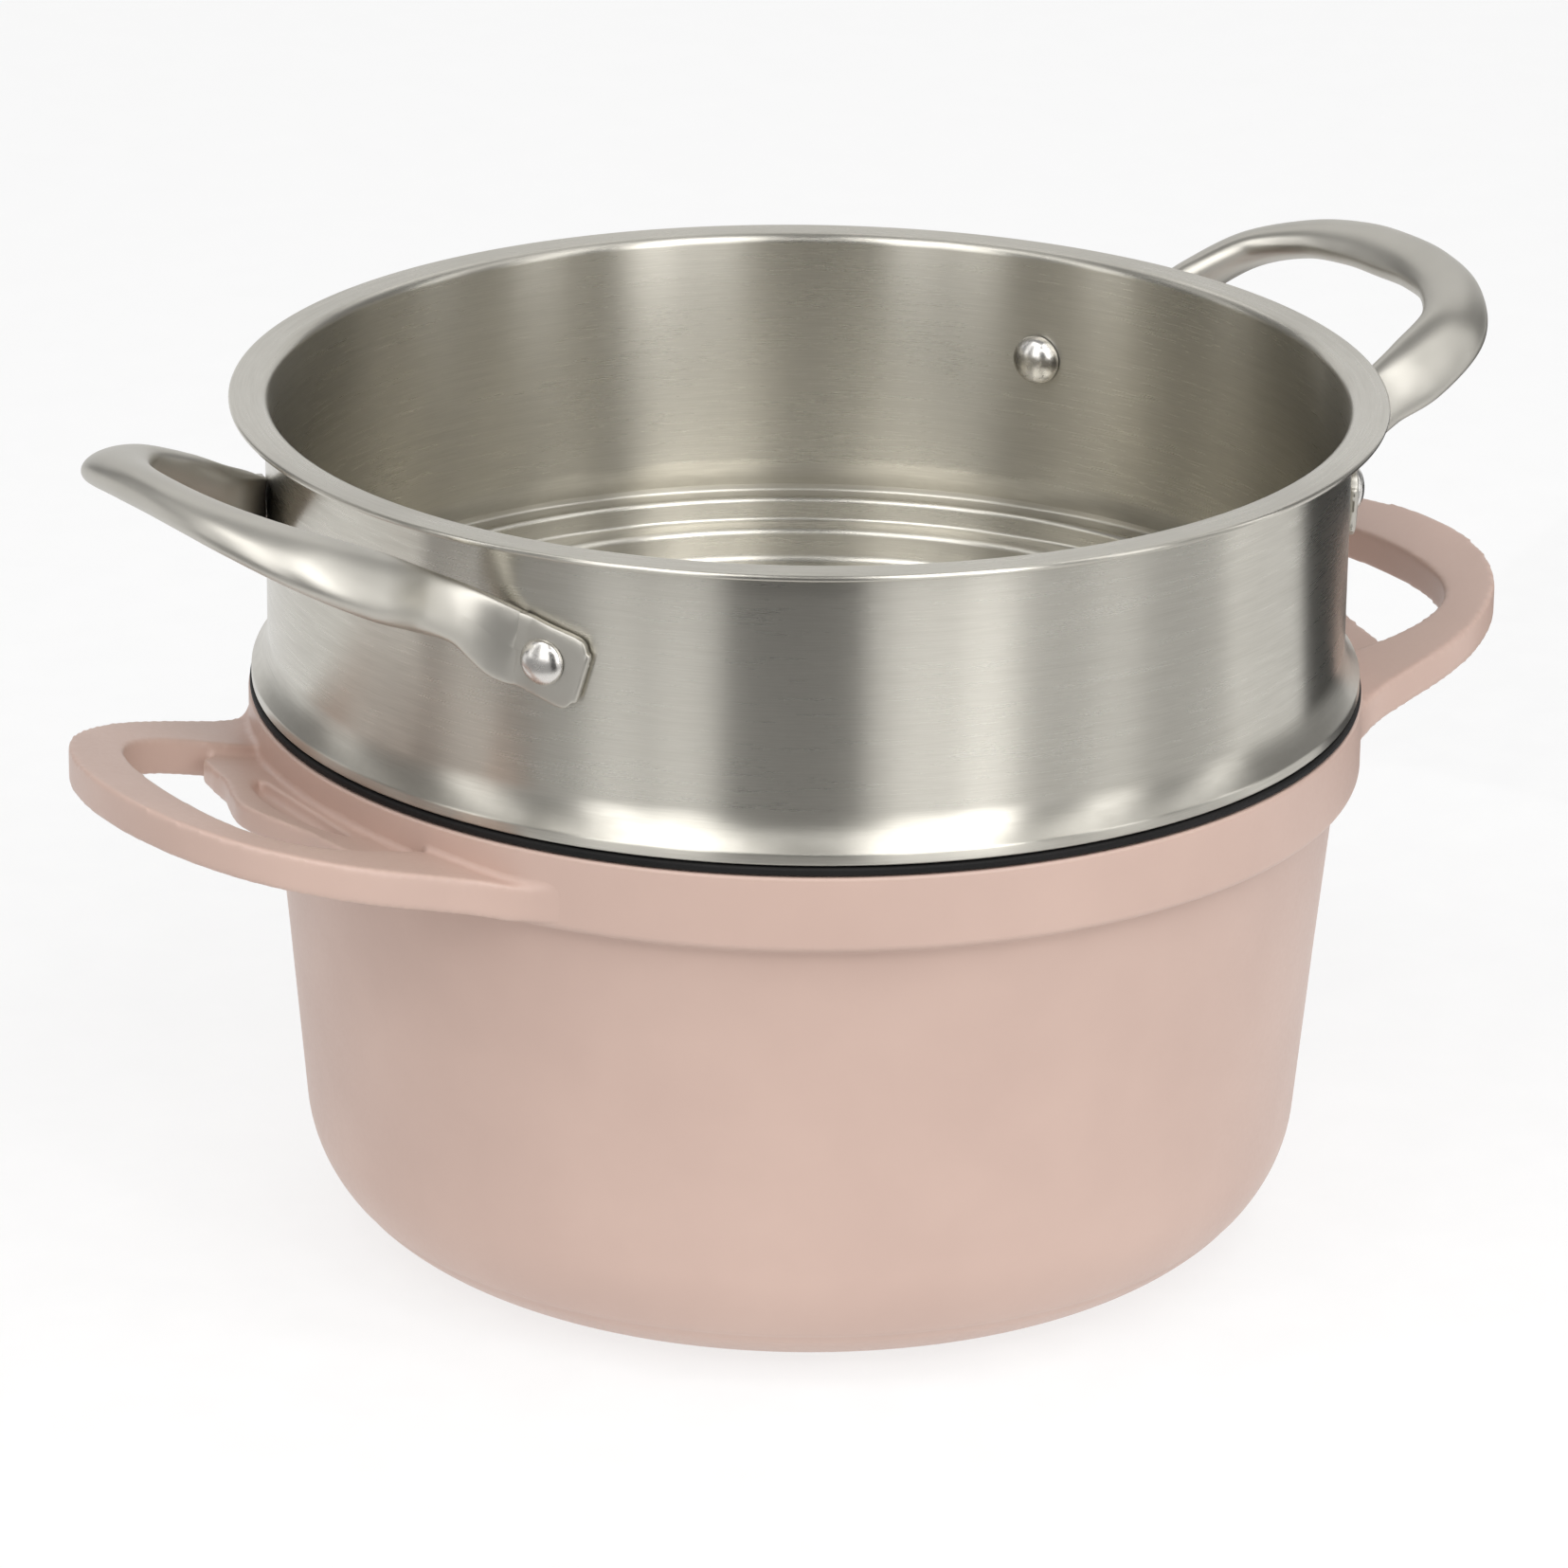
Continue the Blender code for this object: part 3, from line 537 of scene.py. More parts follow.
def pot_outline():
    """The casting's outline from the middle of its underside, up the outside and down the inside."""
    top_radius = COLLAR_RADIUS - COLLAR_STEP
    collar_bottom = POT_TOP - COLLAR_HEIGHT
    lean = math.atan(BODY_SLOPE)
    base_radius = top_radius - BODY_SLOPE * (collar_bottom - BODY_CORNER) - BODY_CORNER * math.cos(lean)
    ledge = POT_TOP - MOUTH_DEPTH - SEAT_LEDGE / 2
    inner_radius = top_radius + BODY_SLOPE * (ledge - collar_bottom) - BODY_WALL
    inner_foot = inner_radius - BODY_SLOPE * (ledge - FLOOR_THICKNESS)
    mouth = COLLAR_RADIUS - RIM_WIDTH
    points = rounded([(0.0, RECESS_HEIGHT, 0), (RECESS_RADIUS, RECESS_HEIGHT, RECESS_ROUNDING),
                      (RECESS_RADIUS, 0.0, FOOT_ROUNDING), (base_radius, 0.0, 0)])[:-1]
    corner_steps = 48
    for step in range(corner_steps + 1):
        angle = -math.pi / 2 + (math.pi / 2 - lean) * step / corner_steps
        away = (angle - BASE_GROOVE_ANGLE) * BODY_CORNER / BASE_GROOVE_WIDTH
        radius = BODY_CORNER - BASE_GROOVE_DEPTH * math.exp(-away * away)
        points.append((base_radius + radius * math.cos(angle), 0.0, BODY_CORNER + radius * math.sin(angle)))
    points += rounded([(top_radius - BODY_SLOPE * WALL_START_DEPTH, collar_bottom - WALL_START_DEPTH, 0),
                       (top_radius - BODY_SLOPE * SHOULDER_DEPTH, collar_bottom - SHOULDER_DEPTH,
                        SHOULDER_ROUNDING),
                       (COLLAR_RADIUS, collar_bottom - COLLAR_FOOT_DROP, COLLAR_FOOT_ROUNDING),
                       (COLLAR_RADIUS, POT_TOP, COLLAR_TOP_ROUNDING), (mouth, POT_TOP, MOUTH_ROUNDING),
                       (mouth, POT_TOP - MOUTH_DEPTH, LEDGE_ROUNDING),
                       (inner_radius, ledge - SEAT_LEDGE / 2, SEAT_ROUNDING),
                       (inner_foot, FLOOR_THICKNESS, INNER_CORNER), (0.0, FLOOR_THICKNESS, 0)], steps=10)
    return points


def spread(shares, start_x, end_x, half_width):
    """Points of a half outline, given as shares of its length and of its half width."""
    return [(start_x + along * (end_x - start_x), across * half_width, 0.0) for along, across in shares]


def whole_outline(half, steps=6):
    """A half outline that ends on the X axis and its mirror image, rounded."""
    return smooth_path(half + [(x, -y, 0.0) for x, y, _ in reversed(half[:-1])], steps)


def handle_top(x):
    return POT_TOP - HANDLE_DROP + HANDLE_SLOPE * (max(x, HANDLE_BEND_X) - COLLAR_RADIUS)


def handle_underside(x):
    return handle_top(x) - HANDLE_THICKNESS


def web_top(x):
    return handle_top(x) - WEB_DROP


def dish_floor(x):
    return web_top(x) - DISH_DEPTH


def below_handles(_):
    return BELOW_HANDLES


def above_handles(_):
    return ABOVE_HANDLES


def slab(name, outline, low, high):
    """An upright slab over a plan outline, bent along the line where the handle starts to rise."""
    shape = bmesh.new()
    shape.faces.new([shape.verts.new((x, y, 0.0)) for x, y, _ in outline])
    bmesh.ops.triangulate(shape, faces=shape.faces)
    bmesh.ops.bisect_plane(shape, geom=shape.verts[:] + shape.edges[:] + shape.faces[:],
                           plane_co=(HANDLE_BEND_X, 0, 0), plane_no=(1, 0, 0), dist=TINY)
    under = list(shape.verts)
    raised = bmesh.ops.extrude_face_region(shape, geom=list(shape.faces))["geom"]
    for vert in under:
        vert.co.z = low(vert.co.x)
    for vert in raised:
        if isinstance(vert, bmesh.types.BMVert):
            vert.co.z = high(vert.co.x)
    bmesh.ops.recalc_face_normals(shape, faces=shape.faces)
    mesh = bpy.data.meshes.new(name)
    shape.to_mesh(mesh)
    shape.free()
    return new_object(name, mesh)


def cut_out(item, tool):
    modifier = item.modifiers.new("Cut", "BOOLEAN")
    modifier.operation = "DIFFERENCE"
    modifier.solver = "EXACT"
    modifier.object = tool
    keep_result(item)
    bpy.data.objects.remove(tool, do_unlink=True)


def collar_piece():
    """The stretch of collar inside the casting that the handle's arms spring from."""
    skin, depth, half_angle, steps = 0.00005, 0.0036, math.radians(44), 60
    foot_margin, top_margin = 0.0016, 0.0011
    outer, inner = COLLAR_RADIUS - skin, COLLAR_RADIUS - depth
    low, high = POT_TOP - COLLAR_HEIGHT + foot_margin, POT_TOP - top_margin
    shape = bmesh.new()
    rings = []
    for step in range(steps + 1):
        angle = -half_angle + 2 * half_angle * step / steps
        rings.append([shape.verts.new((radius * math.cos(angle), radius * math.sin(angle), height))
                      for radius, height in ((inner, low), (outer, low), (outer, high), (inner, high))])
    for first, second in zip(rings, rings[1:]):
        for corner in range(4):
            following = (corner + 1) % 4
            shape.faces.new((first[corner], first[following], second[following], second[corner]))
    shape.faces.new(rings[0])
    shape.faces.new(rings[-1])
    bmesh.ops.recalc_face_normals(shape, faces=shape.faces)
    return shape


def soften_casting(item):
    """Melts the object's overlapping shapes into one, softens it and thins its faces."""
    melt = item.modifiers.new("Melt", "REMESH")
    melt.mode = "VOXEL"
    melt.voxel_size = CAST_GRAIN
    melt.adaptivity = 0.0
    soften = item.modifiers.new("Soften", "SMOOTH")
    soften.factor = 0.5
    soften.iterations = 12
    thin = item.modifiers.new("Fewer faces", "DECIMATE")
    thin.ratio = 0.42
    keep_result(item)


def cast_handle():
    """One loop handle, melted together from its arms, its web and the collar behind it, then softened."""
    radius = COLLAR_RADIUS - HANDLE_ROOT_DEPTH
    root_x, root_y = radius * math.cos(HANDLE_FLARE_ANGLE), radius * math.sin(HANDLE_FLARE_ANGLE)
    arms = []
    for along, share in ((0.0, 1.0), (0.098, 0.465), (0.206, 0.155)):
        half_width = HANDLE_HALF_WIDTH + share * (root_y - HANDLE_HALF_WIDTH)
        arms.append((root_x + along * (HANDLE_REACH - root_x), half_width, 0.0))
    arms += spread(((0.3555, 1.0), (0.518, 0.957), (0.6745, 0.869), (0.824, 0.710), (0.925, 0.495),
                    (0.981, 0.255), (1.0, 0.0)), root_x, HANDLE_REACH, HANDLE_HALF_WIDTH)
    finger = spread(((0.0, 0.949), (0.280, 0.969), (0.506, 1.0), (0.7325, 0.936), (0.887, 0.744),
                     (0.969, 0.423), (1.0, 0.0)),
                    FINGER_START_X, HANDLE_REACH - GRIP_WIDTH, FINGER_HALF_WIDTH)
    web = spread(((0.0, 1.0), (0.618, 0.9125), (0.744, 0.70), (0.794, 0.475), (0.927, 0.2125), (1.0, 0.0)),
                 FINGER_START_X, WEB_REACH, WEB_HALF_WIDTH)
    dish = spread(((0.0, 1.0), (0.57, 0.75), (0.873, 0.4), (1.0, 0.0)),
                  DISH_START_X, DISH_START_X + DISH_LENGTH, DISH_HALF_WIDTH)
    arms_slab = slab("pot_handles", whole_outline(arms), handle_underside, handle_top)
    cut_out(arms_slab, slab("finger_hole", whole_outline(finger), below_handles, above_handles))
    web_slab = slab("web", whole_outline(web), handle_underside, web_top)
    cut_out(web_slab, slab("dish", whole_outline(dish), dish_floor, above_handles))
    inside, steps = COLLAR_RADIUS - HANDLE_END_DEPTH, 160
    mouth = [(inside * math.cos(math.tau * step / steps), inside * math.sin(math.tau * step / steps), 0.0)
             for step in range(steps)]
    for piece in (arms_slab, web_slab):
        cut_out(piece, slab("mouth", mouth, below_handles, above_handles))
    shape = collar_piece()
    shape.from_mesh(arms_slab.data)
    shape.from_mesh(web_slab.data)
    shape.to_mesh(arms_slab.data)
    shape.free()
    bpy.data.objects.remove(web_slab, do_unlink=True)
    soften_casting(arms_slab)
    return arms_slab


def make_pot(turning, coating):
    pot = turned("pot", pot_outline(), turning, coating)
    handle = cast_handle()
    shape = bmesh.new()
    shape.from_mesh(pot.data)
    shape.from_mesh(handle.data)
    handle.data.transform(Matrix.Rotation(math.pi, 4, "Z"))
    shape.from_mesh(handle.data)
    shape.to_mesh(pot.data)
    shape.free()
    bpy.data.objects.remove(handle, do_unlink=True)
    finish_faces(pot, coating, CAST_SHARP_EDGE)
    return pot


def make_disc(turning, steel):
    outline = [(0.0, DISC_BOTTOM, 0), (DISC_RADIUS, DISC_BOTTOM, DISC_FOOT_ROUNDING),
               (DISC_RADIUS, DISC_TOP, DISC_TOP_ROUNDING), (0.0, DISC_TOP, 0)]
    disc = turned("induction_disc", rounded(outline), turning, steel, steps=DISC_STEPS)
    finish_faces(disc, steel)
    return disc


# Seal

def make_seal(turning, silicone):
    skirt_bottom = SEAL_BOTTOM - SEAL_SKIRT_DEPTH
    inner = SEAL_SKIRT_RADIUS - SEAL_SKIRT_WALL
    outline = [(inner, skirt_bottom, SEAL_SKIRT_ROUNDING),
               (SEAL_SKIRT_RADIUS, skirt_bottom, SEAL_SKIRT_ROUNDING),
               (SEAL_SKIRT_RADIUS, SEAL_BOTTOM, SEAL_CORNER_ROUNDING),
               (SEAL_RADIUS, SEAL_BOTTOM, SEAL_EDGE_ROUNDING), (SEAL_RADIUS, SEAL_TOP, SEAL_EDGE_ROUNDING),
               (inner, SEAL_TOP, SEAL_CORNER_ROUNDING)]
    seal = turned("seal", rounded(outline, closed=True), turning, silicone, closed=True)
    finish_faces(seal, silicone)
    return seal


# Steamer

def flare(start_radius, end_radius, start_height, end_height, steps=14):
    """The concave sweep between the wall and the lip, upright where it meets the wall."""
    wall_at_end = end_radius < start_radius
    wall, lip = min(start_radius, end_radius), max(start_radius, end_radius)
    points = []
    for step in range(steps + 1):
        t = step / steps
        along = t if wall_at_end else 1 - t
        height = start_height + (end_height - start_height) * t
        points.append((wall + (lip - wall) * (1 - along) ** 2, height, 0))
    return points


def steamer_outline():
    """The drawn sheet from the floor's edge, up its outside, over the rim and down the inside."""
    wall = STEAMER_RADIUS + SHEET
    lip_top, flare_top = LIP_BOTTOM + LIP_HEIGHT, LIP_BOTTOM + FLARE_HEIGHT
    hem, hem_bottom = RIM_RADIUS - RIM_HEM, STEAMER_TOP - RIM_HEM
    # Bends from floor to lip: radius, height, rounding of the outer face and of the inner face
    bends = [(STEP_RADIUS, FLOOR_BOTTOM, FLOOR_FILLET, FLOOR_FILLET - SHEET),
             (STEP_RADIUS, STEP_BOTTOM, 0.0010, 0.0016), (SPIGOT_RADIUS, STEP_BOTTOM, 0.0012, 0.0009),
             (SPIGOT_RADIUS, LIP_BOTTOM, 0.0004, 0.0012), (LIP_RADIUS, LIP_BOTTOM, 0.0006, 0.0008)]
    lip_top_outside, lip_top_inside = 0.0012, 0.0006
    corners = [(PLATE_RADIUS, FLOOR_BOTTOM, 0)]
    corners += [(radius, height, outside) for radius, height, outside, _ in bends]
    corners += [(LIP_RADIUS, lip_top, lip_top_outside)] + flare(LIP_RADIUS, wall, lip_top, flare_top)[1:]
    corners += [(wall, STEAMER_TOP - SHEET, RIM_BEND), (hem, STEAMER_TOP - SHEET, HEM_ROOT_ROUNDING),
                (hem, hem_bottom, HEM_FOOT_ROUNDING), (RIM_RADIUS, hem_bottom, HEM_EDGE_ROUNDING),
                (RIM_RADIUS, STEAMER_TOP, RIM_TOP_ROUNDING), (STEAMER_RADIUS, STEAMER_TOP, RIM_BEND + SHEET)]
    corners += flare(STEAMER_RADIUS, LIP_RADIUS - SHEET, flare_top, lip_top)[:-1]
    corners.append((LIP_RADIUS - SHEET, lip_top, lip_top_inside))
    corners += [(radius - SHEET, height + SHEET, inside) for radius, height, _, inside in reversed(bends)]
    corners.append((PLATE_RADIUS, FLOOR_BOTTOM + SHEET, 0))
    return rounded(corners, steps=7)


def make_steamer(turning, perforating, steel):
    sizes = {"Steps": TURNING_STEPS, "Rings": HOLE_RINGS, "Outer Count": OUTER_HOLE_COUNT,
             "Fewer Each Ring": HOLES_PER_RING_STEP, "Plate Radius": PLATE_RADIUS, "Hole Radius": HOLE_RADIUS,
             "Outer Ring": OUTER_HOLE_RING, "Ring Pitch": HOLE_RING_PITCH, "Start": HOLE_START + STEAMER_TURN,
             "Height": FLOOR_BOTTOM, "Sheet": SHEET, "Finish": steel}
    steamer = turned("steamer_shell", steamer_outline(), turning, steel, further_steps=[(perforating, sizes)])
    finish_faces(steamer, steel)
    return steamer


# Tube handles

def handle_stations():
    """Stations of half a tube handle: place, half thickness, half width, squareness, lean and roll."""
    wall = TAB_FACE_RADIUS + TAB_THICKNESS / 2
    flat = TAB_THICKNESS / 2
    stations = []
    # Along the tab: distance from the rivet, share of the tab's half width, gap to the wall
    for along, half, off in ((-TAB_OVERHANG, 0.72, 0.0), (0.0022 - TAB_OVERHANG, 1.0, 0.0), (0.0, 1.0, 0.0),
                             (0.0051, 1.0, 0.0001), (0.0085, 1.0, 0.0011)):
        angle, radius = RIVET_ANGLE - along / wall, wall + off
        place = (radius * math.cos(angle), radius * math.sin(angle), RIVET_HEIGHT + TAB_SLANT * along)
        stations.append((place, (flat, half * TAB_HALF_WIDTH, TAB_SQUARENESS, 0.0, 0.0)))
    root_x = wall * math.cos(RIVET_ANGLE)
    # Round the loop: shares of its reach and half width, how far it is a tube, half width, degrees of roll
    for share_x, share_y, tube, half_width, roll in (
            (0.20, 1.09, 0.40, 0.0064, 8), (0.36, 1.01, 0.85, 0.0068, 24), (0.55, 1.0, 1.0, 0.0080, 38),
            (0.78, 0.90, 1.0, 0.0079, 50), (0.93, 0.62, 1.0, 0.0073, 66), (0.99, 0.30, 1.0, 0.0069, 82),
            (1.0, 0.0, 1.0, 0.0068, 90)):
        x = root_x + share_x * (LOOP_REACH - root_x)
        place = (x, LOOP_HALF_WIDTH * share_y, RIVET_HEIGHT + LOOP_LIFT + LOOP_RISE * (x - root_x))
        squareness = TAB_SQUARENESS + (ROUND_SQUARENESS - TAB_SQUARENESS) * tube
        stations.append((place, (flat + (TUBE_HALF_THICKNESS - flat) * tube, half_width, squareness, tube,
                                 math.radians(roll))))
    return stations


def closing_rows(edge, heading, steps=5, length=0.8):
    """Rows that close one end to a soft edge, its length a share of the edge's half thickness."""
    place, thin, broad, half_thickness, half_width, square = edge
    rows = []
    for step in range(1, steps + 1):
        angle = math.pi / 2 * step / steps
        inset = half_thickness * (1 - math.cos(angle))
        rows.append([place + heading * half_thickness * math.sin(angle) * length, thin, broad,
                     max(half_thickness - inset, 0.0), max(half_width - inset, 0.0), square])
    rows.append([rows[-1][0], thin, broad, 0.0, 0.0, ROUND_SQUARENESS])
    return rows


def handle_route(steps=14):
    """The whole route, each row with its place, two axes, two half sizes and squareness."""
    stations = handle_stations()
    places = [Vector(place) for place, _ in stations]
    sizes = [size for _, size in stations]
    places += [Vector((p.x, -p.y, p.z)) for p in reversed(places[:-1])]
    sizes += list(reversed(sizes[:-1]))
    spine = smooth_path(places, steps)
    sections = smooth_path([size[:3] for size in sizes], steps)
    turns = smooth_path([(lean, roll, 0.0) for *_, lean, roll in sizes], steps)
    rows = []
    for index, (place, section, (lean, roll, _)) in enumerate(zip(spine, sections, turns)):
        tangent = (spine[min(index + 1, len(spine) - 1)] - spine[max(index - 1, 0)]).normalized()
        tilt = lean * math.atan(LOOP_RISE)
        up = Vector((-math.sin(tilt), 0, math.cos(tilt)))
        out = up.cross(tangent).normalized()
        across = tangent.cross(out).normalized()
        thin = out * math.cos(roll) + across * math.sin(roll)
        broad = across * math.cos(roll) - out * math.sin(roll)
        rows.append([place, thin, broad, *section])
    first_heading = (rows[0][0] - rows[1][0]).normalized()
    last_heading = (rows[-1][0] - rows[-2][0]).normalized()
    return closing_rows(rows[0], first_heading)[::-1] + rows + closing_rows(rows[-1], last_heading)


def make_tube_handles(tube, steel):
    handles = []
    places, thins, broads, half_thicknesses, half_widths, squares = zip(*handle_route())
    for name, turn in (("tube_handle_right", STEAMER_TURN), ("tube_handle_left", STEAMER_TURN + math.pi)):
        spin = Matrix.Rotation(turn, 3, "Z")
        points = [spin @ place + Vector((0, 0, LIP_BOTTOM)) for place in places]
        route = line_mesh(name, points, attributes=[
            ("thin_axis", "FLOAT_VECTOR", [spin @ thin for thin in thins]),
            ("broad_axis", "FLOAT_VECTOR", [spin @ broad for broad in broads]),
            ("half_thickness", "FLOAT", half_thicknesses),
            ("half_width", "FLOAT", half_widths),
            ("squareness", "FLOAT", [max(square, ROUND_SQUARENESS) for square in squares])])
        handle = grow(name, route, [(tube, {"Sides": TUBE_SIDES, "Finish": steel})])
        finish_faces(handle, steel, TUBE_SHARP_EDGE)
        handles.append(handle)
    return handles


def head_outline(face, radius, height, steps=12):
    """A domed rivet head's outline from its edge on the face to its middle."""
    points = []
    for step in range(steps):
        angle = math.pi / 2 * step / steps
        points.append((radius * math.cos(angle), 0.0, face + height * math.sin(angle)))
    return points + [(0.0, 0.0, face + height)]


def rivet_outline():
    """A rivet's outline from the middle of its inner head to the middle of its outer head."""
    inner_face = STEAMER_RADIUS - INNER_HEAD_GAP
    outer_face = TAB_FACE_RADIUS + TAB_THICKNESS + OUTER_HEAD_GAP
    inner_head = head_outline(inner_face, INNER_HEAD_RADIUS, -INNER_HEAD_HEIGHT)
    shank = [(SHANK_RADIUS, 0.0, inner_face), (SHANK_RADIUS, 0.0, outer_face)]
    return inner_head[::-1] + shank + head_outline(outer_face, OUTER_HEAD_RADIUS, OUTER_HEAD_HEIGHT)


def make_rivets(turning, riveting, polished):
    places = {"Turn": STEAMER_TURN, "Spread": RIVET_ANGLE, "Height": LIP_BOTTOM + RIVET_HEIGHT,
              "Finish": polished}
    rivets = turned("rivets", rivet_outline(), turning, polished, steps=RIVET_STEPS,
                    further_steps=[(riveting, places)])
    finish_faces(rivets, polished)
    return rivets


# Finishes

def noise(tree, place, scale, detail, roughness=0.5):
    return result(tree, "ShaderNodeTexNoise",
                  {"Vector": place, "Scale": scale, "Detail": detail, "Roughness": roughness})


def bumps(tree, height, depth, distance):
    return result(tree, "ShaderNodeBump", {"Strength": depth, "Distance": distance, "Height": height})


def brushing_group():
    """Fine lines that run round the axis: their strength, a broad unevenness and a normal."""
    tree, given, out = new_tree("round_brushing", "ShaderNodeTree",
                                {"Vector": "Vector", "Line Length": "Float", "Line Width": "Float",
                                 "Depth": "Float"},
                                {"Lines": "Float", "Unevenness": "Float", "Normal": "Vector"})
    radius_share, fine_share, coarse_scale = 1.37, 0.62, (0.45, 0.45, 0.16)
    x, y, z = split(tree, given["Vector"])
    radius = axis_distance(tree, x, y)
    profile = plus(tree, times(tree, radius, radius_share), z)
    arc_scale = over(tree, STEAMER_RADIUS, given["Line Length"])
    place = combined(tree, times(tree, over(tree, x, radius), arc_scale),
                     times(tree, over(tree, y, radius), arc_scale),
                     over(tree, profile, given["Line Width"]))
    fine = noise(tree, place, scale=1.0, detail=3.0, roughness=0.65)
    coarse = noise(tree, vector_maths(tree, "MULTIPLY", place, coarse_scale), scale=1.0, detail=2.0)
    lines = blended(tree, fine, coarse, fine_share)
    uneven = noise(tree, given["Vector"], scale=26.0, detail=4.0, roughness=0.55)
    feed(tree, out, {"Lines": lines, "Unevenness": uneven,
                     "Normal": bumps(tree, lines, given["Depth"], LINE_BUMP)})
    return tree


def satin_group():
    """Blasted, lightly worn metal without a direction: grain, unevenness and a normal."""
    tree, given, out = new_tree("satin_grain", "ShaderNodeTree",
                                {"Vector": "Vector", "Grain Size": "Float", "Depth": "Float"},
                                {"Grain": "Float", "Unevenness": "Float", "Normal": "Vector"})
    fineness = over(tree, 1.0, given["Grain Size"])
    grain = noise(tree, given["Vector"], scale=fineness, detail=4.0, roughness=0.6)
    feed(tree, out, {"Grain": grain, "Unevenness": noise(tree, given["Vector"], scale=34.0, detail=3.0),
                     "Normal": bumps(tree, grain, given["Depth"], GRAIN_BUMP)})
    return tree


def mixed_colour(tree, low, high, share):
    """A colour between low and high. 6, 7 and 2 are the Mix node's sockets for colours."""
    mix = new_node(tree, "ShaderNodeMix", {0: share, 6: (*low, 1.0), 7: (*high, 1.0)}, data_type="RGBA")
    return mix.outputs[2]


def ranged(tree, value, low, high, start=0.3, end=0.7):
    """Low where the value is at its start, and high where it is at its end."""
    return result(tree, "ShaderNodeMapRange", {0: value, 1: start, 2: end, 3: low, 4: high})


def new_finish(name, constants):
    """A new material with its tree, its shader and the place on the piece."""
    material = bpy.data.materials.new(name)
    material.use_nodes = True
    tree = material.node_tree
    shader = tree.nodes["Principled BSDF"]
    feed(tree, shader, constants)
    return material, tree, shader, tree.nodes.new("ShaderNodeTexCoord").outputs["Object"]


def brushed_finish(brushing):
    """Steel brushed round its axis, a little duller on the pressed flare."""
    material, tree, shader, place = new_finish("brushed_steel", {"Metallic": 1.0, "Anisotropic": 0.93,
                                                                 "Anisotropic Rotation": 0.25})
    marks = new_node(tree, "ShaderNodeGroup", node_tree=brushing)
    feed(tree, marks, {"Vector": place, "Line Length": 0.010, "Line Width": 0.00024, "Depth": 0.38})
    line_share, duller = 0.7, 0.04
    shade = blended(tree, marks.outputs["Lines"], marks.outputs["Unevenness"], line_share)
    colour = mixed_colour(tree, (0.49, 0.469, 0.415), (0.63, 0.607, 0.548), ranged(tree, shade, 0.0, 1.0))
    x, y, z = split(tree, place)
    flare_top, fade_down, fade_up, skin = LIP_BOTTOM + FLARE_HEIGHT, 0.0010, 0.0006, 0.0002
    low = ranged(tree, z, 1.0, 0.0, flare_top - fade_down, flare_top + fade_up)
    flared = maths(tree, "GREATER_THAN", axis_distance(tree, x, y), STEAMER_RADIUS + skin)
    dullness = times(tree, times(tree, low, flared), duller)
    feed(tree, shader, {"Base Color": colour,
                        "Roughness": plus(tree, ranged(tree, shade, 0.32, 0.25), dullness),
                        "Normal": marks.outputs["Normal"],
                        "Tangent": result(tree, "ShaderNodeTangent", direction_type="RADIAL", axis="Z")})
    return material


def grained_finish(name, satin, constants, grain_size, depth, dark, light, roughness, rough_by="Grain",
                   coat=None):
    """A finish with the satin grain, whose colour and roughness vary a little from place to place."""
    material, tree, shader, place = new_finish(name, constants)
    marks = new_node(tree, "ShaderNodeGroup", node_tree=satin)
    feed(tree, marks, {"Vector": place, "Grain Size": grain_size, "Depth": depth})
    uneven = marks.outputs["Unevenness"]
    feed(tree, shader, {"Base Color": mixed_colour(tree, dark, light, ranged(tree, uneven, 0.0, 1.0)),
                        "Roughness": ranged(tree, marks.outputs[rough_by], *roughness),
                        "Normal": marks.outputs["Normal"]})
    if coat:
        feed(tree, shader, {"Coat Weight": ranged(tree, uneven, *coat)})
    return material


def satin_finish(satin):
    return grained_finish("satin_steel", satin, {"Metallic": 1.0}, grain_size=0.0006, depth=0.07,
                          dark=(0.46, 0.442, 0.398), light=(0.55, 0.530, 0.482),
                          roughness=(0.37, 0.44), rough_by="Unevenness")


def polished_finish(satin):
    return grained_finish("polished_steel", satin, {"Metallic": 1.0}, grain_size=0.0016, depth=0.04,
                          dark=(0.62, 0.60, 0.57), light=(0.74, 0.72, 0.69), roughness=(0.22, 0.30))


def coating_finish(satin):
    return grained_finish("pink_coating", satin,
                          {"Metallic": 0.0, "Coat Roughness": 0.32, "Specular IOR Level": 0.45},
                          grain_size=0.0013, depth=0.22, dark=(0.526, 0.377, 0.320),
                          light=(0.558, 0.402, 0.340), roughness=(0.40, 0.50), coat=(0.10, 0.20))


def silicone_finish(satin):
    return grained_finish("black_silicone", satin, {"Metallic": 0.0, "Specular IOR Level": 0.22},
                          grain_size=0.0006, depth=0.35, dark=(0.004, 0.004, 0.004),
                          light=(0.011, 0.010, 0.010), roughness=(0.55, 0.72))


# Studio

def grey(level):
    return (level, level, level)


def paper_finish():
    """White sweep, lit from below like a light table so that its shadows stay faint."""
    material, tree, shader, place = new_finish("white_paper", {"Metallic": 0.0, "Emission Strength": 0.74})
    fibre = noise(tree, place, scale=60.0, detail=2.0)
    feed(tree, shader, {"Base Color": mixed_colour(tree, grey(0.21), grey(0.24), fibre),
                        "Emission Color": mixed_colour(tree, grey(0.98), grey(1.0), fibre),
                        "Roughness": ranged(tree, fibre, 0.75, 0.85)})
    return material


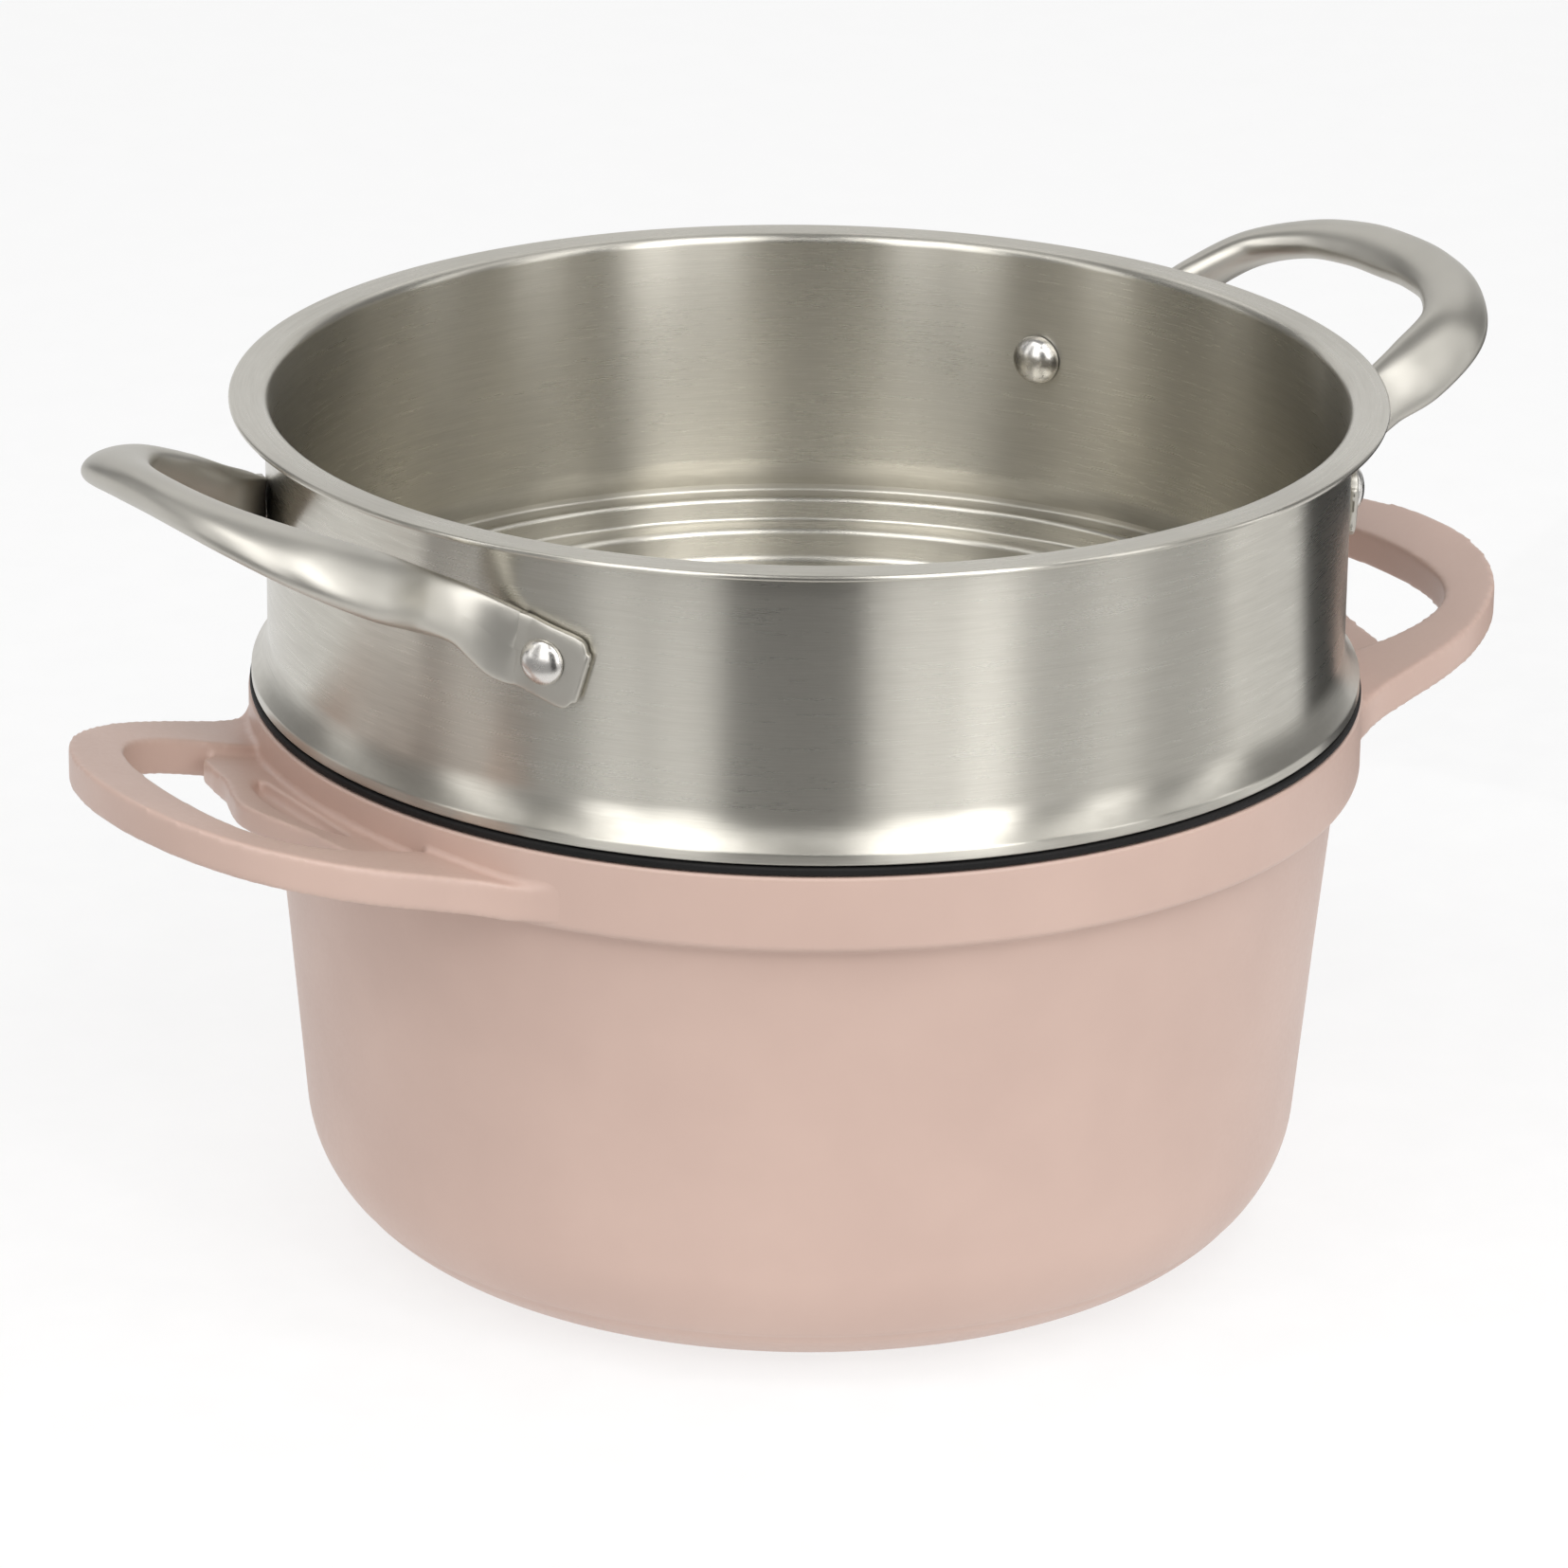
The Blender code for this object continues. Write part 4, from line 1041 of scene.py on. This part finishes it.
def card_finish(name, level):
    """Matt card of the boards that the metal mirrors in place of the white floor."""
    material, tree, shader, place = new_finish(name, {"Metallic": 0.0, "Specular IOR Level": 0.0})
    fibre = noise(tree, place, scale=300.0, detail=2.0)
    feed(tree, shader, {"Base Color": mixed_colour(tree, grey(0.9 * level), grey(1.1 * level), fibre),
                        "Roughness": ranged(tree, fibre, 0.8, 0.95)})
    return material


def board(name, corners, material):
    """A flat board between its corners."""
    mesh = bpy.data.meshes.new(name)
    mesh.from_pydata([tuple(corner) for corner in corners], [], [range(len(corners))])
    mesh.materials.append(material)
    return new_object(name, mesh)


def round_camera(angle, distance, height):
    """A point round the pot, its angle in degrees from the camera's side, to the right where positive."""
    turn = math.radians(angle)
    seen = Vector((distance * math.sin(turn), -distance * math.cos(turn), height))
    return Matrix.Rotation(-VIEW_TURN, 3, "Z") @ seen


def soft_lamp(name, size, place, power):
    lamp = bpy.data.lights.new(name, "AREA")
    lamp.shape = "RECTANGLE"
    lamp.size, lamp.size_y = size
    lamp.energy = power
    item = new_object(name, lamp)
    item.location = place
    item.rotation_euler = (Vector(LAMP_AIM) - Vector(place)).to_track_quat("-Z", "Y").to_euler()


def set_world(level):
    world = bpy.context.scene.world or bpy.data.worlds.new("studio")
    bpy.context.scene.world = world
    world.use_nodes = True
    tree = world.node_tree
    tree.nodes.clear()
    back = result(tree, "ShaderNodeBackground", {"Color": (1.0, 1.0, 1.0, 1.0), "Strength": level})
    new_node(tree, "ShaderNodeOutputWorld", {0: back})


def set_camera():
    """The camera fitted to the photograph. Its distances are millimetres, before the fit's last scaling."""
    focal_pixels, photo_side, sensor = 8000.0, 1655, 36
    away, aside, fit_height, aim_drop, scale = 1712.546, -4.523, 128.033, 28.074, 1.0025 / 1000
    pitch, roll = math.radians(20.573), math.radians(0.719)
    forward = Vector((0, math.cos(pitch), -math.sin(pitch)))
    level = Vector((1, 0, 0))
    upright = level.cross(forward)
    right = math.cos(roll) * level + math.sin(roll) * upright
    up = -math.sin(roll) * level + math.cos(roll) * upright
    place = (Vector((aside, 0, fit_height - aim_drop)) - forward * away) * scale
    turn = Matrix.Rotation(-VIEW_TURN, 3, "Z")
    facing = Matrix((turn @ right, turn @ up, turn @ -forward)).transposed().to_4x4()
    facing.translation = turn @ place
    camera = bpy.data.cameras.new("camera")
    camera.sensor_width = sensor
    camera.lens = focal_pixels / photo_side * sensor
    camera.clip_end = 20
    item = new_object("camera", camera)
    item.matrix_world = facing
    bpy.context.scene.camera = item


def make_floor():
    corners = [(x * FLOOR_HALF_SIDE, y * FLOOR_HALF_SIDE, -FLOOR_DROP)
               for x, y in ((-1, -1), (1, -1), (1, 1), (-1, 1))]
    return board("floor", corners, paper_finish())


def make_cards():
    """Boards on the floor and one behind the camera, which the camera doesn't see and the steel mirrors."""
    cards = []
    bend_steps = 6
    for name, start, end, level in (("black_card", -15, 11, 0.02), ("left_card", -80, -15, 0.30),
                                    ("right_card", 11, 90, 0.48), ("rear_card", 118, 156, 0.03)):
        bends = [start + (end - start) * step / bend_steps for step in range(bend_steps + 1)]
        corners = [round_camera(angle, CARD_NEAR, CARD_LIFT) for angle in bends]
        corners += [round_camera(angle, CARD_FAR, CARD_LIFT) for angle in reversed(bends)]
        card = board(name, corners, card_finish(name, level))
        card.visible_diffuse = name != "rear_card"
        cards.append(card)
    start, end, distance, height = -15, 11, 2.1, 2.2
    corners = [round_camera(angle, distance, top)
               for angle, top in ((start, 0.0), (end, 0.0), (end, height), (start, height))]
    cards.append(board("rear_flag", corners, card_finish("black_cloth", 0.02)))
    for card in cards:
        card.visible_camera = card.visible_shadow = False
    return cards


def set_lamps():
    """Every lamp with its size, its place round the pot (angle, distance, height) and its power."""
    lamps = [("front_light", (1.2, 0.6), 0, 2.0, 1.6, 6.8), ("back_panel", (3.2, 1.3), 180, 2.0, 0.75, 8.0),
             ("back_top_light", (2.4, 0.8), 180, 1.4, 1.7, 6.0)]
    lamps += [(name, (0.5, 0.5), angle, 0.75, 1.5, power)
              for name, angle, power in (("high_right", 36, 3.4), ("high_left", -32, 2.8),
                                         ("high_far_left", -66, 1.8), ("high_side", 90, 1.2))]
    lamps += [(name + "_strip", (0.30, 1.4), angle, 1.3, 0.72, power)
              for name, angle, power in (("right_inner", 22, 3.1), ("right", 36, 5.7),
                                         ("right_side", 64, 2.6), ("right_edge", 92, 1.8),
                                         ("left_inner", -24, 3.0), ("left", -38, 3.1),
                                         ("left_side", -70, 2.2), ("left_edge", -106, 0.8))]
    for name, size, angle, distance, height, power in lamps:
        soft_lamp(name, size, round_camera(angle, distance, height), power)


def build_studio():
    set_world(0.24)
    boards = [make_floor()] + make_cards()
    set_lamps()
    set_camera()
    bpy.context.scene.view_settings.view_transform = "Standard"
    return boards


# Build

brushing, satin = brushing_group(), satin_group()
brushed_steel, satin_steel = brushed_finish(brushing), satin_finish(satin)
polished_steel, silicone, coating = polished_finish(satin), silicone_finish(satin), coating_finish(satin)
turning, perforating, tube, riveting = turning_tree(), perforated_tree(), tube_tree(), rivet_tree()

pot = make_pot(turning, coating)
disc = make_disc(turning, brushed_steel)
seal = make_seal(turning, silicone)
steamer = make_steamer(turning, perforating, brushed_steel)
handle_right, handle_left = make_tube_handles(tube, satin_steel)
rivets = make_rivets(turning, riveting, polished_steel)

for piece, body, nodes, slot in (
        (pot, "pot", ["pot_body"], "pink_coating"),
        (disc, "pot", ["base_disc"], "brushed_steel"),
        (seal, "seal", ["seal_ring"], "black_silicone"),
        (steamer, "steamer", ["steamer_body"], "brushed_steel"),
        (handle_right, "steamer", ["steamer_handle_right"], "brushed_steel"),
        (handle_left, "steamer", ["steamer_handle_left"], "brushed_steel"),
        (rivets, "steamer", ["rivet_right_front", "rivet_right_rear", "rivet_left_front", "rivet_left_rear"],
         "polished_steel")):
    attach(piece, body)
    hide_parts(*nodes)

build_studio()
